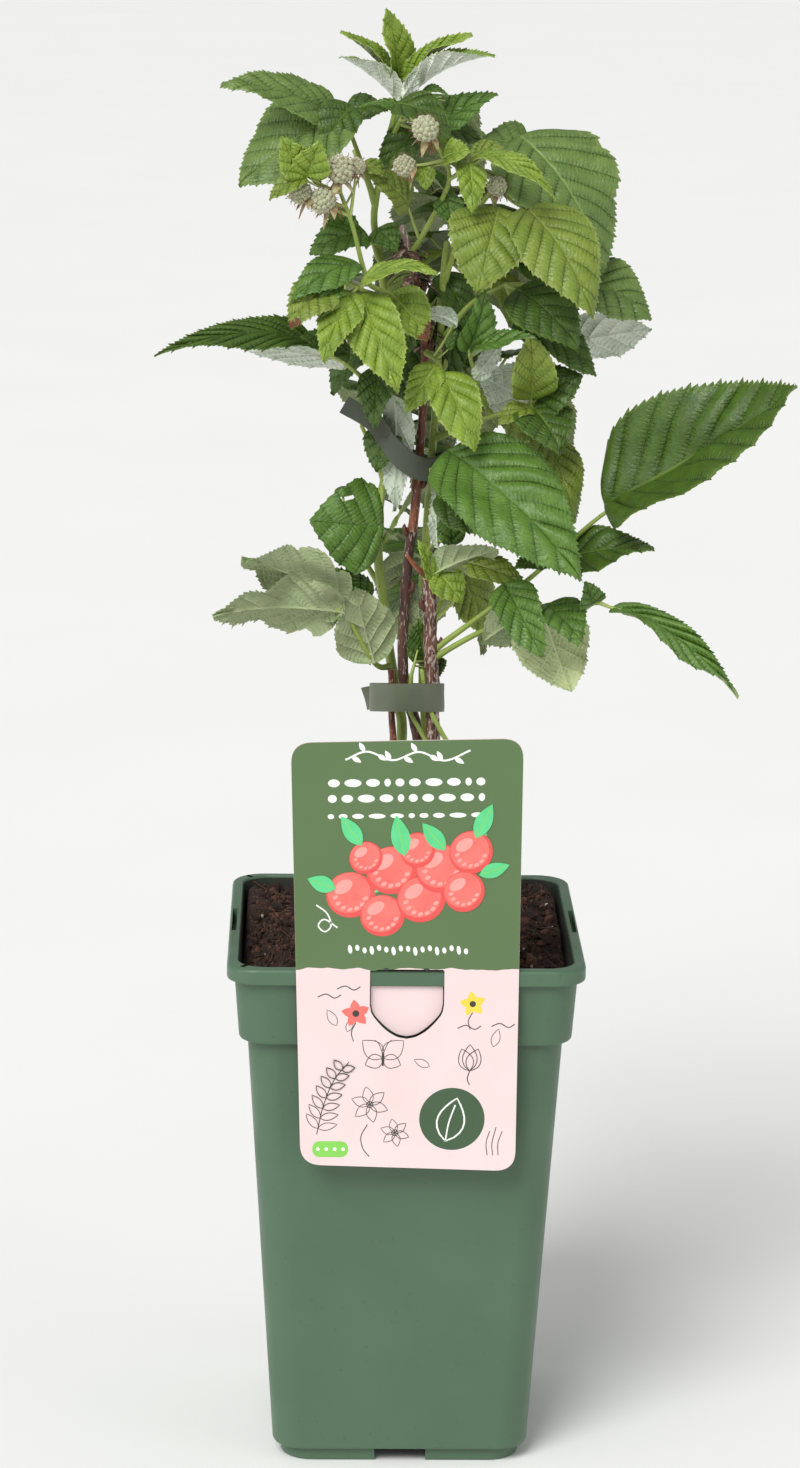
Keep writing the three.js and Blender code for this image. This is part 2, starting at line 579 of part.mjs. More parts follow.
// Each mass of foliage seen from the front: where its shoot leaves the canes, the legs of the shoot
// as heading, rise and length, and its leaflets.
const FRONT_MASSES = {
  leaves_top_rosette: {
    foot: [-11, 6, 639],
    legs: [[63, 79, 23]],
    leaves: [
      leaf(1, [0, 67, 5], [-37, 73, 35, 19], -100, 0.04, 30, "bright"),
      leaf(1, [13, 36, 5], [66, 36, 43, 14], 40, 0.06, 40, "bright"),
      leaf(1, [-25, 52, 4], [-66, 41, 38, 12], -40, 0.06, 40, "bright"),
      leaf(0.7, [39, 28, 10], [62, 27, 48, 17], -55, 0.06, 25, "bright"),
      leaf(0.7, [9, 31, 5], [-58, 34, 37, 15], 55, 0.05, 20, "pale"),
      leaf(0.8, [16, 13, 11], [38, 49, 16, 8], -60, 0.05, 20, "pale"),
      leaf(0.6, [55, 28, 16], [73, 5, 13, 7], 30, 0.2, 20, "mid"),
    ],
  },
  leaves_upper_left: {
    foot: [-17, 6, 606],
    legs: [[-62, 69, 24], [-55, 66, 17]],
    leaves: [
      leaf(2, [-47, 30, 7], [-72, 19, 60, 26], -45, 0.1, 12, "mid"),
      leaf(2, [-18, 60, 13], [-68, -37, 60, 46], -35, 0.04, 10, "mid"),
      leaf(2, [6, 44, 17], [-55, -47, 25, 21], -45, 0.15, 15, "dark"),
      leaf(2, [-15, 75, 8], [108, 5, 20, 16], 40, 0.12, 15, "dark"),
    ],
  },
  leaves_top_right: {
    foot: [-13, 6, 633],
    legs: [[51, 59, 19]],
    leaves: [
      leaf(1, [-13, 28, 16], [65, -29, 32, 22], 30, 0.18, 15, "dark"),
      leaf(0.8, [101, -6, 10], [-70, -47, 30, 19], -40, 0.05, 15, "dark"),
      leaf(1, [98, -21, 17], [70, 32, 35, 19], 50, 0.05, 20, "mid"),
      leaf(1, [114, -13, 20], [80, -24, 24, 13], 35, 0.1, 15, "dark"),
      leaf(0.9, [24, 4, 11], [-80, 16, 26, 8], -30, 0.2, 15, "mid"),
    ],
  },
  leaves_fruit_left: {
    foot: [4, 0, 563],
    legs: [[-48, 16, 28], [-45, 40, 11], [-48, 70, 26], [-69, 68, 16]],
    leaves: [
      leaf(4, [-58, 23, 20], [-66, 55, 23, 17], -105, 0.05, 20, "bright"),
      leaf(4, [-58, 23, 20], [42, 64, 19, 18], 140, 0.05, 20, "bright"),
      leaf(4, [-58, 23, 20], [-65, -26, 21, 13], -25, 0.1, 20, "olive"),
      leaf(3.6, [113, 65, 20], [107, -20, 14, 10], 45, 0.15, 15, "olive"),
      leaf(4, [-77, 26, 10], [-70, 27, 6, 6], -45, 0.1, 10, "dark"),
    ],
    berries: [
      berry(3.3, [-67, 25, 27], 5.8),
      berry(3.6, [-51, 14, 14], 6.3),
      berry(4, [-3, 62, 13], 6.8),
      berry(3.2, [39, 79, 25], 4.3),
    ],
  },
  leaves_fruit_right: {
    foot: [-1, 0, 584],
    legs: [[42, 53, 27], [39, 59, 20], [-47, 66, 14]],
    leaves: [
      leaf(2, [49, 36, 15], [6, -61, 25, 14], 0, 0.08, 15, "bright"),
      leaf(2, [54, 36, 17], [55, -18, 47, 13], 25, 0.18, 20, "bright"),
      leaf(2.8, [2, 2, 3], [58, 17, 15, 15], 50, 0.1, 20, "bright"),
      leaf(2, [67, 45, 14], [75, 23, 17, 13], 45, 0.1, 15, "olive"),
      leaf(2.6, [-80, -8, 10], [24, -68, 11, 10], 20, 0.05, 20, "bright"),
      leaf(0.4, [-28, 58, 20], [-58, 37, 28, 19], -70, 0.1, 15, "olive"),
      leaf(0.9, [64, 57, 13], [25, -64, 15, 14], 20, 0.1, 15, "mid"),
    ],
    berries: [
      berry(2.7, [-74, -7, 19], 5.3),
      berry(3, [-24, 33, 23], 6.3),
    ],
  },
  leaves_upper_right: {
    foot: [15, 7, 570],
    legs: [[72, 69, 28], [96, 55, 36]],
    leaves: [
      leaf(2, [113, 71, 16], [61, -53, 77, 62], 30, 0.14, 8, "dark"),
      leaf(2, [101, 35, 12], [-75, 17, 24, 25], -50, 0.12, 15, "dark"),
      leaf(1.6, [6, -7, 28], [-24, -55, 45, 41], -20, 0.12, 10, "olive"),
      leaf(1.7, [21, -9, 34], [46, -48, 65, 40], 25, 0.14, 10, "olive"),
    ],
    berries: [
      berry(1.8, [-5, 0, 28], 4.8),
    ],
  },
  leaves_right: {
    foot: [14, 8, 542],
    legs: [[48, 48, 27], [64, 31, 21]],
    leaves: [
      leaf(2, [38, -6, 8], [55, -36, 43, 34], 35, 0.12, 12, "dark"),
      leaf(2, [111, 5, 34], [69, -24, 44, 35], 35, 0.1, 10, "mid"),
      leaf(2, [111, -40, 44], [78, 11, 40, 27], -65, 0.03, 6, "pale"),
      leaf(2, [107, -67, 17], [67, -32, 47, 27], 35, 0.1, 12, "dark"),
    ],
  },
  leaves_mid_right: {
    foot: [12, 8, 496],
    legs: [[53, 24, 29], [66, 21, 27]],
    leaves: [
      leaf(2, [1, 33, 5], [-8, 68, 36, 24], -160, 0.1, 25, "olive"),
      leaf(2, [6, -22, 2], [33, -38, 30, 31], 10, 0.1, 15, "dark"),
      leaf(2, [149, 12, 3], [74, 32, 27, 27], 65, 0.08, 15, "dark"),
      leaf(2, [-155, 1, 2], [-100, 28, 27, 32], 70, 0.05, 15, "pale"),
      leaf(2, [2, -13, 4], [-53, -17, 21, 13], -25, 0.1, 15, "olive"),
    ],
  },
  leaves_shoot_centre: {
    foot: [13, 8, 509],
    legs: [[39, 25, 31], [-15, 53, 24]],
    leaves: [
      leaf(2, [-77, 57, 2], [37, 68, 33, 18], 160, 0.08, 30, "mid"),
      leaf(2, [11, 21, 2], [60, 19, 35, 14], 35, 0.08, 30, "mid"),
      leaf(1.6, [17, -36, 5], [56, 52, 23, 10], -75, 0.05, 20, "pale"),
    ],
  },
  leaves_centre: {
    foot: [7, 0, 539],
    legs: [[17, -6, 19]],
    leaves: [
      leaf(1, [11, -24, 9], [38, -54, 42, 26], 30, 0.08, 12, "bright"),
      leaf(1, [-8, -2, 6], [-50, -49, 29, 16], -40, 0.08, 15, "bright"),
      leaf(0.6, [35, 45, 26], [-77, 12, 19, 12], 45, 0.2, 10, "pale"),
      leaf(0.8, [45, 35, 10], [40, 63, 11, 5], 100, 0.1, 10, "mid"),
    ],
  },
  leaves_mid_left: {
    foot: [5, 0, 555],
    legs: [[-39, 20, 28], [-47, 25, 22], [-68, 22, 11]],
    leaves: [
      leaf(1.5, [-33, 8, 6], [39, -57, 52, 32], 45, 0.1, 14, "bright"),
      leaf(1, [-10, 34, 7], [56, -49, 27, 22], 45, 0.08, 15, "bright"),
      leaf(2, [-91, -38, 3], [-40, -56, 37, 20], -25, 0.1, 15, "bright"),
      leaf(2.6, [-131, 5, 4], [-34, -47, 22, 10], -25, 0.1, 15, "mid"),
      leaf(3, [-141, -29, 6], [-53, -37, 29, 23], -30, 0.1, 12, "olive"),
      leaf(2.4, [160, 35, 15], [-57, -23, 40, 23], -25, 0.1, 12, "mid"),
      leaf(1.9, [3, 39, 7], [68, 10, 38, 14], 30, 0.12, 15, "bright"),
    ],
  },
  leaves_left_upper: {
    foot: [-15, 6, 581],
    legs: [[-30, 52, 11]],
    leaves: [
      leaf(1, [-30, 43, 10], [-62, -16, 31, 22], -35, 0.1, 12, "mid"),
      leaf(1, [-61, 20, 13], [-66, 56, 19, 14], -115, 0.05, 12, "mid"),
      leaf(1, [16, 62, 9], [52, -35, 16, 15], 35, 0.1, 12, "mid"),
    ],
  },
  leaves_left_long: {
    foot: [-10, 7, 521],
    legs: [[-37, 12, 14], [-73, 38, 18]],
    leaves: [
      leaf(2, [-69, 36, 14], [-64, 0, 86, 18], -45, 0.16, 15, "dark"),
      leaf(2, [136, -6, 3], [-77, 10, 56, 14], 70, 0.04, 10, "pale"),
      leaf(2, [26, 30, 8], [-73, 23, 28, 17], -45, 0.1, 15, "dark"),
      leaf(1, [48, 57, 11], [-17, -65, 30, 19], 5, 0.1, 20, "dark"),
    ],
  },
  leaves_centre_pale: {
    foot: [-9, 7, 517],
    legs: [[24, -1, 14]],
    leaves: [
      leaf(1, [4, 31, 3], [23, -84, 56, 24], -155, 0.05, 8, "pale"),
      leaf(0.5, [-80, -76, 14], [-47, -67, 23, 20], -15, 0.1, 15, "dark"),
    ],
  },
  leaves_left_round: {
    foot: [-12, 6, 477],
    legs: [[-17, -75, 16]],
    leaves: [
      leaf(1, [35, -72, 8], [-80, 7, 36, 46], -75, 0.04, 5, "mid"),
    ],
  },
  leaves_left_low: {
    foot: [-7, 9, 384],
    legs: [[-34, 18, 17], [-58, 58, 34]],
    leaves: [
      leaf(2, [86, 68, 2], [-66, 27, 60, 37], 55, 0.06, 12, "pale"),
      leaf(2, [17, -42, 3], [-66, 3, 68, 32], 60, 0.08, 12, "pale"),
      leaf(1, [3, 12, 2], [-41, 69, 42, 32], 60, 0.05, 12, "pale"),
      leaf(2, [139, -1, 19], [-70, 44, 26, 16], -90, 0.08, 15, "dark"),
    ],
  },
  leaves_big_front: {
    foot: [10, 8, 469],
    legs: [[0, 36, 27]],
    leaves: [
      leaf(1, [0, 45, 14], [56, -32, 97, 59], 35, 0.1, 12, "mid"),
      leaf(0.7, [21, -35, 11], [61, -26, 51, 26], 40, 0.08, 14, "dark"),
      leaf(1, [92, 21, 55], [38, -56, 49, 25], 5, 0.06, 12, "olive"),
    ],
  },
  leaves_big_right: {
    foot: [13, -6, 396],
    legs: [[69, 39, 57], [74, 44, 41], [81, 40, 16]],
    leaves: [
      leaf(3, [-89, 25, 4], [64, 34, 113, 69], 50, -0.03, 32, "dark"),
      leaf(1.3, [60, 30, 8], [61, 13, 52, 29], 35, 0.05, 15, "dark"),
      leaf(1.3, [23, 36, 8], [-59, -5, 19, 14], -30, 0.08, 15, "dark"),
    ],
  },
  leaves_right_low: {
    foot: [13, -6, 392],
    legs: [[70, 32, 27], [56, 26, 40], [64, 8, 28]],
    leaves: [
      leaf(3, [71, -9, 6], [58, -28, 76, 17], 25, 0.12, 25, "mid"),
      leaf(2.8, [76, -36, 2], [-26, 55, 16, 14], -135, 0.1, 20, "mid"),
      leaf(1.6, [-38, 54, 22], [33, -43, 43, 24], 35, 0.08, 25, "mid"),
      leaf(2, [-1, 18, 6], [35, -26, 30, 26], 15, 0.08, 20, "mid"),
      leaf(2, [-161, -36, 5], [39, -59, 40, 36], -150, 0.05, 10, "pale"),
      leaf(1.4, [74, 23, 8], [-67, -28, 24, 24], 80, 0.05, 12, "pale"),
    ],
  },
  leaves_centre_right_low: {
    foot: [8, 8, 427],
    legs: [[51, 29, 11], [46, 22, 12]],
    leaves: [
      leaf(2, [170, -9, 2], [120, -63, 43, 24], 90, 0.05, 12, "olive"),
      leaf(2, [24, 20, 12], [63, -15, 32, 17], 35, 0.05, 14, "olive"),
      leaf(1.5, [-42, 1, 11], [65, 23, 36, 22], -50, 0.05, 14, "pale"),
      leaf(1.3, [-29, 11, 9], [64, -47, 20, 18], 50, 0.05, 14, "bright"),
      leaf(0.8, [-6, -6, 13], [-62, 67, 23, 8], -95, 0.05, 25, "bright"),
    ],
  },
  leaves_centre_low: {
    foot: [2, -7, 383],
    legs: [[149, 63, 18]],
    leaves: [
      leaf(0.8, [171, 60, 11], [-60, 84, 21, 13], 60, 0.03, 5, "pale"),
      leaf(0.4, [133, -18, 7], [-40, 77, 24, 15], -140, 0.05, 10, "dark"),
      leaf(0.3, [131, -15, 11], [75, 30, 9, 12], 70, 0.05, 10, "dark"),
    ],
  },
  leaves_centre_slim: {
    foot: [8, 8, 438],
    legs: [[23, 40, 17]],
    leaves: [
      leaf(1, [25, -66, 3], [-94, 87, 30, 7], 105, 0.02, 20, "pale"),
      leaf(1, [62, -12, 9], [-39, 79, 25, 14], -130, 0.04, 25, "mid"),
    ],
  },
};

// The masses behind the canes are grown by one rule: shoots spread over the far side at rising
// heights, each with compound leaves of one leaflet at the end and a pair beside it. Pairs of
// numbers are the two ends of a range that a seeded draw picks from.
const BACK = {
  lowest: 396,
  highest: 636,
  shoots: [
    { cane: "young_cane_right", heading: 165, seed: 37 },
    { cane: "young_cane_left", heading: 205, seed: 82 },
    { cane: "young_cane_right", heading: 135, seed: 30 },
    { cane: "young_cane_left", heading: 195, seed: 82 },
    { cane: "young_cane_right", heading: 140, seed: 30 },
    { cane: "young_cane_left", heading: 205, seed: 82 },
    { cane: "young_cane_right", heading: 155, seed: 30 },
    { cane: "young_cane_right", heading: 160, seed: 10 },
    { cane: "young_cane_left", heading: 195, seed: 82 },
    { cane: "young_cane_left", heading: 170, seed: 33 },
  ],
  legLong: [6, 30],
  legRise: [5, 35],
  legTurn: [-10, 10],
  secondLeg: 0.7,
  leafPlaces: [0.7, 1.35, 2],
  leafTurn: [21, 60],
  endTurn: 0.3,
  stalkLong: [18, 40],
  stalkRise: [5, 40],
  bladeLong: [44, 68],
  bladeRise: [-18, -63],
  bladeWide: 0.62,
  arch: 0.1,
  fold: 14,
  pairSize: [0.68, 0.92],
  pairTurn: 76,
  pairLift: 8,
  nearest: 9,
  lean: 0.24,
  margin: 0.4,
};

// The crown's left and right edges at rising heights, which the leaves behind the canes keep inside.
// Both drop towards the back by the lean above, for each millimetre behind the middle.
const CROWN_EDGE = [
  [385, -22, 17], [420, -38, 50], [475, -44, 80], [505, -26, 84], [550, -52, 86], [600, -52, 100],
  [640, -16, 92], [662, 8, 46],
];

const TINTS = ["mid", "dark", "olive", "mid", "dark", "bright"];

// A small seeded generator of numbers from 0 to 1.
function dice(seed) {
  let state = seed >>> 0;
  return () => {
    state = (state + 0x6d2b79f5) >>> 0;
    let mixed = Math.imul(state ^ (state >>> 15), state | 1);
    mixed = (mixed + Math.imul(mixed ^ (mixed >>> 7), mixed | 61)) ^ mixed;
    return ((mixed ^ (mixed >>> 14)) >>> 0) / 4294967296;
  };
}

// The middle of a cane at a height, with X, Y and Z as a list.
function caneMiddle({ path }, height) {
  const above = path.findIndex(([, , z]) => z >= height);
  const [low, high] = [path[above - 1], path[above]];
  const share = (height - low[2]) / (high[2] - low[2]);
  return low.map((value, axis) => THREE.MathUtils.lerp(value, high[axis], share));
}

// The leaflets and shoot of one mass behind the canes.
function backMass({ cane, heading, seed }, index) {
  const roll = dice(seed);
  const between = ([start, end]) => start + (end - start) * roll();
  const climb = (BACK.highest - BACK.lowest) / (BACK.shoots.length - 1);
  const foot = caneMiddle(CANES[cane], BACK.lowest + climb * index);
  const legs = [[heading, between(BACK.legRise), between(BACK.legLong)]];
  legs.push([heading + between(BACK.legTurn), between(BACK.legRise), BACK.secondLeg * legs[0][2]]);
  const path = shootPath({ foot, legs });
  const leaves = [];
  BACK.leafPlaces.forEach((at, k) => {
    const way = (k % 2 ? 1 : -1) * (at < legs.length ? 1 : BACK.endTurn);
    const out = heading + way * between(BACK.leafTurn);
    const stalk = [out, between(BACK.stalkRise), between(BACK.stalkLong)];
    const long = between(BACK.bladeLong);
    const rise = between(BACK.bladeRise);
    const tint = TINTS[Math.floor(roll() * TINTS.length)];
    const blades = [[out, rise, long, long * BACK.bladeWide]];
    for (const side of [-1, 1]) {
      const size = long * between(BACK.pairSize);
      blades.push([out + side * BACK.pairTurn, rise + BACK.pairLift, size, size * BACK.bladeWide]);
    }
    const tip = along(path, at).addScaledVector(aim(out, stalk[1]), stalk[2]);
    const [blade, ...pair] = blades.filter((one) => staysBehind(tip, one));
    if (blade) leaves.push(leaf(at, stalk, blade, 0, BACK.arch, BACK.fold, tint, pair));
  });
  return { foot, legs, leaves };
}

// Whether a blade behind the canes keeps to the space there, at its middle and its tip.
function staysBehind(foot, [heading, rise, long, wide]) {
  const way = aim(heading, rise);
  return [0.5, 1].every((share) => {
    const { x, y, z } = foot.clone().addScaledVector(way, share * long);
    const margin = share < 1 ? wide * BACK.margin : 0;
    const [left, right] = crownEdge(z + BACK.lean * y);
    return x - margin > left && x + margin < right && y > BACK.nearest;
  });
}

// The crown's left and right edge at a height, or an empty span above and below the crown.
function crownEdge(z) {
  const above = CROWN_EDGE.findIndex(([height]) => height > z);
  if (above < 1) return [0, 0];
  const [low, high] = [CROWN_EDGE[above - 1], CROWN_EDGE[above]];
  const share = (z - low[0]) / (high[0] - low[0]);
  return [1, 2].map((side) => THREE.MathUtils.lerp(low[side], high[side], share));
}

// ---------------------------------------------------------------- assembly

const group = new THREE.Group();

function add(name, body, finish) {
  const mesh = new THREE.Mesh(geometryOf(body), material(finish));
  mesh.name = name;
  group.add(mesh);
}

// The piece of a cut solid that is left once loose scraps are dropped.
function largest(body) {
  return body.decompose().reduce((best, one) => (one.volume() > best.volume() ? one : best));
}

// A fused mass without slivers, sealed hollows or scraps, as it is once its numbers are rounded.
function settled(body) {
  const plain = largest(body).simplify(SLIVER);
  return largest(solid(geometryOf(plain)));
}

const touches = (one, other) => one.intersect(other).volume() > 0;

add("pot", makePot(), COLOURS.pot);
add("soil", makeSoil(), COLOURS.soil);
add("label", makeLabel(), COLOURS.label);

// The two ties, the upper one with its free end, thickened by a clearance.
function makeTies(clearance = 0) {
  const { tie_lower, tie_upper } = TIES;
  const wide = tie_upper.wide + 2 * clearance;
  const tail = solid(loft(ribbon(points(TIE_TAIL), wide, TIE_THICK + 2 * clearance, false)));
  return { tie_lower: makeTie(tie_lower, clearance), tie_upper: makeTie(tie_upper, clearance).add(tail) };
}

// What the masses keep clear of: every cane and both ties, with a gap round them.
const canesAndGap = wasm.Manifold.union(Object.values(CANES).map((cane) => caneSolid(cane, GAP)));
const clear = wasm.Manifold.union([canesAndGap, ...Object.values(makeTies(GAP))]);
for (const [name, tie] of Object.entries(makeTies())) {
  add(name, largest(tie.subtract(canesAndGap)), COLOURS.tie);
}
for (const [name, cane] of Object.entries(CANES)) add(name, caneSolid(cane), COLOURS[cane.bark]);

let taken = null;

// One mass: its shoot with every leaflet and berry that keeps clear of the masses made before it.
function makeMass(name, spec) {
  const path = shootPath(spec);
  const pieces = [limb(path, SHOOT_RADIUS, TIP_SHARE * SHOOT_RADIUS, 3)];
  const grown = [
    ...spec.leaves.map((one) => leafSolid(path, one)),
    ...(spec.berries ?? []).map((one) => berrySolid(path, one)),
  ];
  grown.forEach((piece, i) => {
    if (taken && touches(piece, taken)) console.warn(name, "skips", i);
    else pieces.push(piece);
  });
  const body = settled(wasm.Manifold.union(pieces).subtract(clear));
  taken = taken ? taken.add(body) : body;
  add(name, body, COLOURS.foliage);
}

for (const [name, spec] of Object.entries(FRONT_MASSES)) makeMass(name, spec);
BACK.shoots.forEach((shoot, index) => makeMass(`leaves_back_${index + 1}`, backMass(shoot, index)));

export default group;
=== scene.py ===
"""A raspberry cane in a square nursery pot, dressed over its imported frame.

Sizes are in millimetres, with Z up and the front along -Y. They become metres where a
mesh is made. Leaf and shoot directions are a heading (0 is the front, 90 the right) and
a rise above level, in degrees.
"""

import logging
import math
from collections.abc import Iterable, Sequence
from dataclasses import dataclass, field
from enum import Enum
from typing import Any

import bpy
import numpy as np
from mathutils import Matrix, Vector
from mathutils.geometry import tessellate_polygon


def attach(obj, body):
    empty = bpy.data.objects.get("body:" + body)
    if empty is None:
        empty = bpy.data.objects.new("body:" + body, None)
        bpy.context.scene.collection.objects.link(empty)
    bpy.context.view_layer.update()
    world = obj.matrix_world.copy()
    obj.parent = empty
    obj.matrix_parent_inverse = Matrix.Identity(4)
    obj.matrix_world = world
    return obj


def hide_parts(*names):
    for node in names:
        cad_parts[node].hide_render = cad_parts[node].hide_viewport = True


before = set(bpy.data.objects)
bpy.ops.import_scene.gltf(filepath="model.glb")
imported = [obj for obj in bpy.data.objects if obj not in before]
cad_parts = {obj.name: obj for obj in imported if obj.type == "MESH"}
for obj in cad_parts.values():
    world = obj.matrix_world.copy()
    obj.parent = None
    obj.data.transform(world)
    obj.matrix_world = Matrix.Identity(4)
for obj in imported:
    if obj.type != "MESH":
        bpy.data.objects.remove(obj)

log = logging.getLogger("raspberry")

MM = 0.001  # metres in a millimetre
UP = np.array([0, 0, 1.0])
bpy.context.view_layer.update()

Pair = tuple[float, float]
Point = tuple[float, float, float]
Lie = tuple[float, float, float, float]  # a blade's heading, rise, length and width
Array = np.ndarray
Piece = bpy.types.Object
Tree = bpy.types.NodeTree
Socket = bpy.types.NodeSocket


# ---------- colour and finish


def linear(code: str) -> tuple[float, ...]:
    """Turns an sRGB hex colour into linear light.

    Args:
        code: The colour, such as "5c7d64".

    Returns:
        Red, green, blue and a full alpha.
    """
    parts = [int(code[i : i + 2], 16) / 255 for i in (0, 2, 4)]
    return *(p / 12.92 if p <= 0.04045 else ((p + 0.055) / 1.055) ** 2.4 for p in parts), 1.0


def add_node(
    tree: Tree,
    kind: str,
    settings: dict[Any, Any] | None = None,
    links: dict[Any, Socket] | None = None,
) -> bpy.types.Node:
    """Adds a shader node with its settings and links.

    Args:
        tree: The node tree it goes in.
        kind: The node's type, without its "ShaderNode" prefix.
        settings: Values by property name, or by the name or number of an input.
        links: Output sockets by the name or number of the input that they feed.

    Returns:
        The new node.
    """
    made = tree.nodes.new("ShaderNode" + kind)
    for key, value in (settings or {}).items():
        if isinstance(key, str) and hasattr(made, key):
            setattr(made, key, value)
        else:
            made.inputs[key].default_value = value
    for key, socket in (links or {}).items():
        tree.links.new(socket, made.inputs[key])
    return made


@dataclass(frozen=True)
class Finish:
    """A surface whose colour drifts in patches, with flecks and a fine grain.

    Patch, fleck and grain sizes are real sizes on the object, in millimetres.
    """

    name: str
    colour: str
    drift: str
    patch: float = 20.0
    drift_share: float = 0.5
    fleck_colour: str = ""
    fleck: float = 1.0
    fleck_share: float = 0.1
    fleck_detail: float = 1.0
    roughness: float = 0.5
    roughness_drift: float = 0.1
    grain: float = 1.0
    relief: float = 0.05
    ior: float = 1.5
    sheen: float = 0.0
    stretch: Point = (1.0, 1.0, 1.0)

    PATCH_EDGE = (0.35, 0.65)  # where in the noise one colour gives way to the other
    ROUGH_EDGE = (0.3, 0.7)
    FLECK_EDGE = 0.04
    FLECK_SHOWN = 0.85

    def pattern(self, tree: Tree, size: float, detail: float) -> Socket:
        """A noise pattern fixed to the object.

        Args:
            tree: The material's node tree.
            size: The size of one patch, in millimetres.
            detail: How many finer octaves it carries.

        Returns:
            The pattern's value, from 0 to 1.
        """
        place = add_node(tree, "TexCoord").outputs["Object"]
        mapped = add_node(tree, "Mapping", {"Scale": self.stretch}, {"Vector": place})
        settings = {"Scale": 1 / (size * MM), "Detail": detail, "Roughness": 0.55}
        return add_node(tree, "TexNoise", settings, {"Vector": mapped.outputs[0]}).outputs[0]

    def tinted(self, tree: Tree, share: Socket, under: Any, over: str) -> Socket:
        """Lays one colour over another by a share.

        Args:
            tree: The material's node tree.
            share: How much of the upper colour shows.
            under: The lower colour as a hex code or a socket.
            over: The upper colour as a hex code.

        Returns:
            The mixed colour.
        """
        settings = {"data_type": "RGBA", 7: linear(over)}
        links = {0: share}
        if isinstance(under, str):
            settings[6] = linear(under)
        else:
            links[6] = under
        return add_node(tree, "Mix", settings, links).outputs[2]

    def spread(
        self, tree: Tree, value: Socket, start: float, end: float, low: float, high: float
    ) -> Socket:
        """Maps the range start to end of a value onto low to high, held at both ends."""
        settings = {"From Min": start, "From Max": end, "To Min": low, "To Max": high}
        return add_node(tree, "MapRange", settings, {"Value": value}).outputs[0]

    def base_colour(self, tree: Tree) -> Socket:
        """The drifting colour with its flecks.

        Args:
            tree: The material's node tree.

        Returns:
            The colour.
        """
        patches = self.pattern(tree, self.patch, 3)
        share = self.spread(tree, patches, *self.PATCH_EDGE, 0.0, self.drift_share)
        colour = self.tinted(tree, share, self.colour, self.drift)
        if self.fleck_colour:
            flecks = self.pattern(tree, self.fleck, self.fleck_detail)
            edge = 0.72 - 0.25 * self.fleck_share
            shown = self.spread(tree, flecks, edge, edge + self.FLECK_EDGE, 0.0, self.FLECK_SHOWN)
            colour = self.tinted(tree, shown, colour, self.fleck_colour)
        return colour

    def height(self, tree: Tree) -> Socket:
        """The fine relief, from 0 to 1."""
        return self.pattern(tree, self.grain, 4)

    def material(self) -> bpy.types.Material:
        """Makes the material, or finds it where it was made before.

        Returns:
            The material.
        """
        known = bpy.data.materials.get(self.name)
        if known:
            return known
        made = bpy.data.materials.new(self.name)
        made.use_nodes = True
        tree = made.node_tree
        tree.nodes.clear()
        smooth, dull = self.roughness - self.roughness_drift, self.roughness + self.roughness_drift
        patches = self.pattern(tree, self.patch / 2, 2)
        rough = self.spread(tree, patches, *self.ROUGH_EDGE, smooth, dull)
        depth = {"Strength": 1.0, "Distance": self.relief * MM}
        bump = add_node(tree, "Bump", depth, {"Height": self.height(tree)}).outputs[0]
        links = {"Base Color": self.base_colour(tree), "Roughness": rough, "Normal": bump}
        settings = {"IOR": self.ior, "Sheen Weight": self.sheen}
        surface = add_node(tree, "BsdfPrincipled", settings, links)
        add_node(tree, "OutputMaterial", links={"Surface": surface.outputs[0]})
        return made


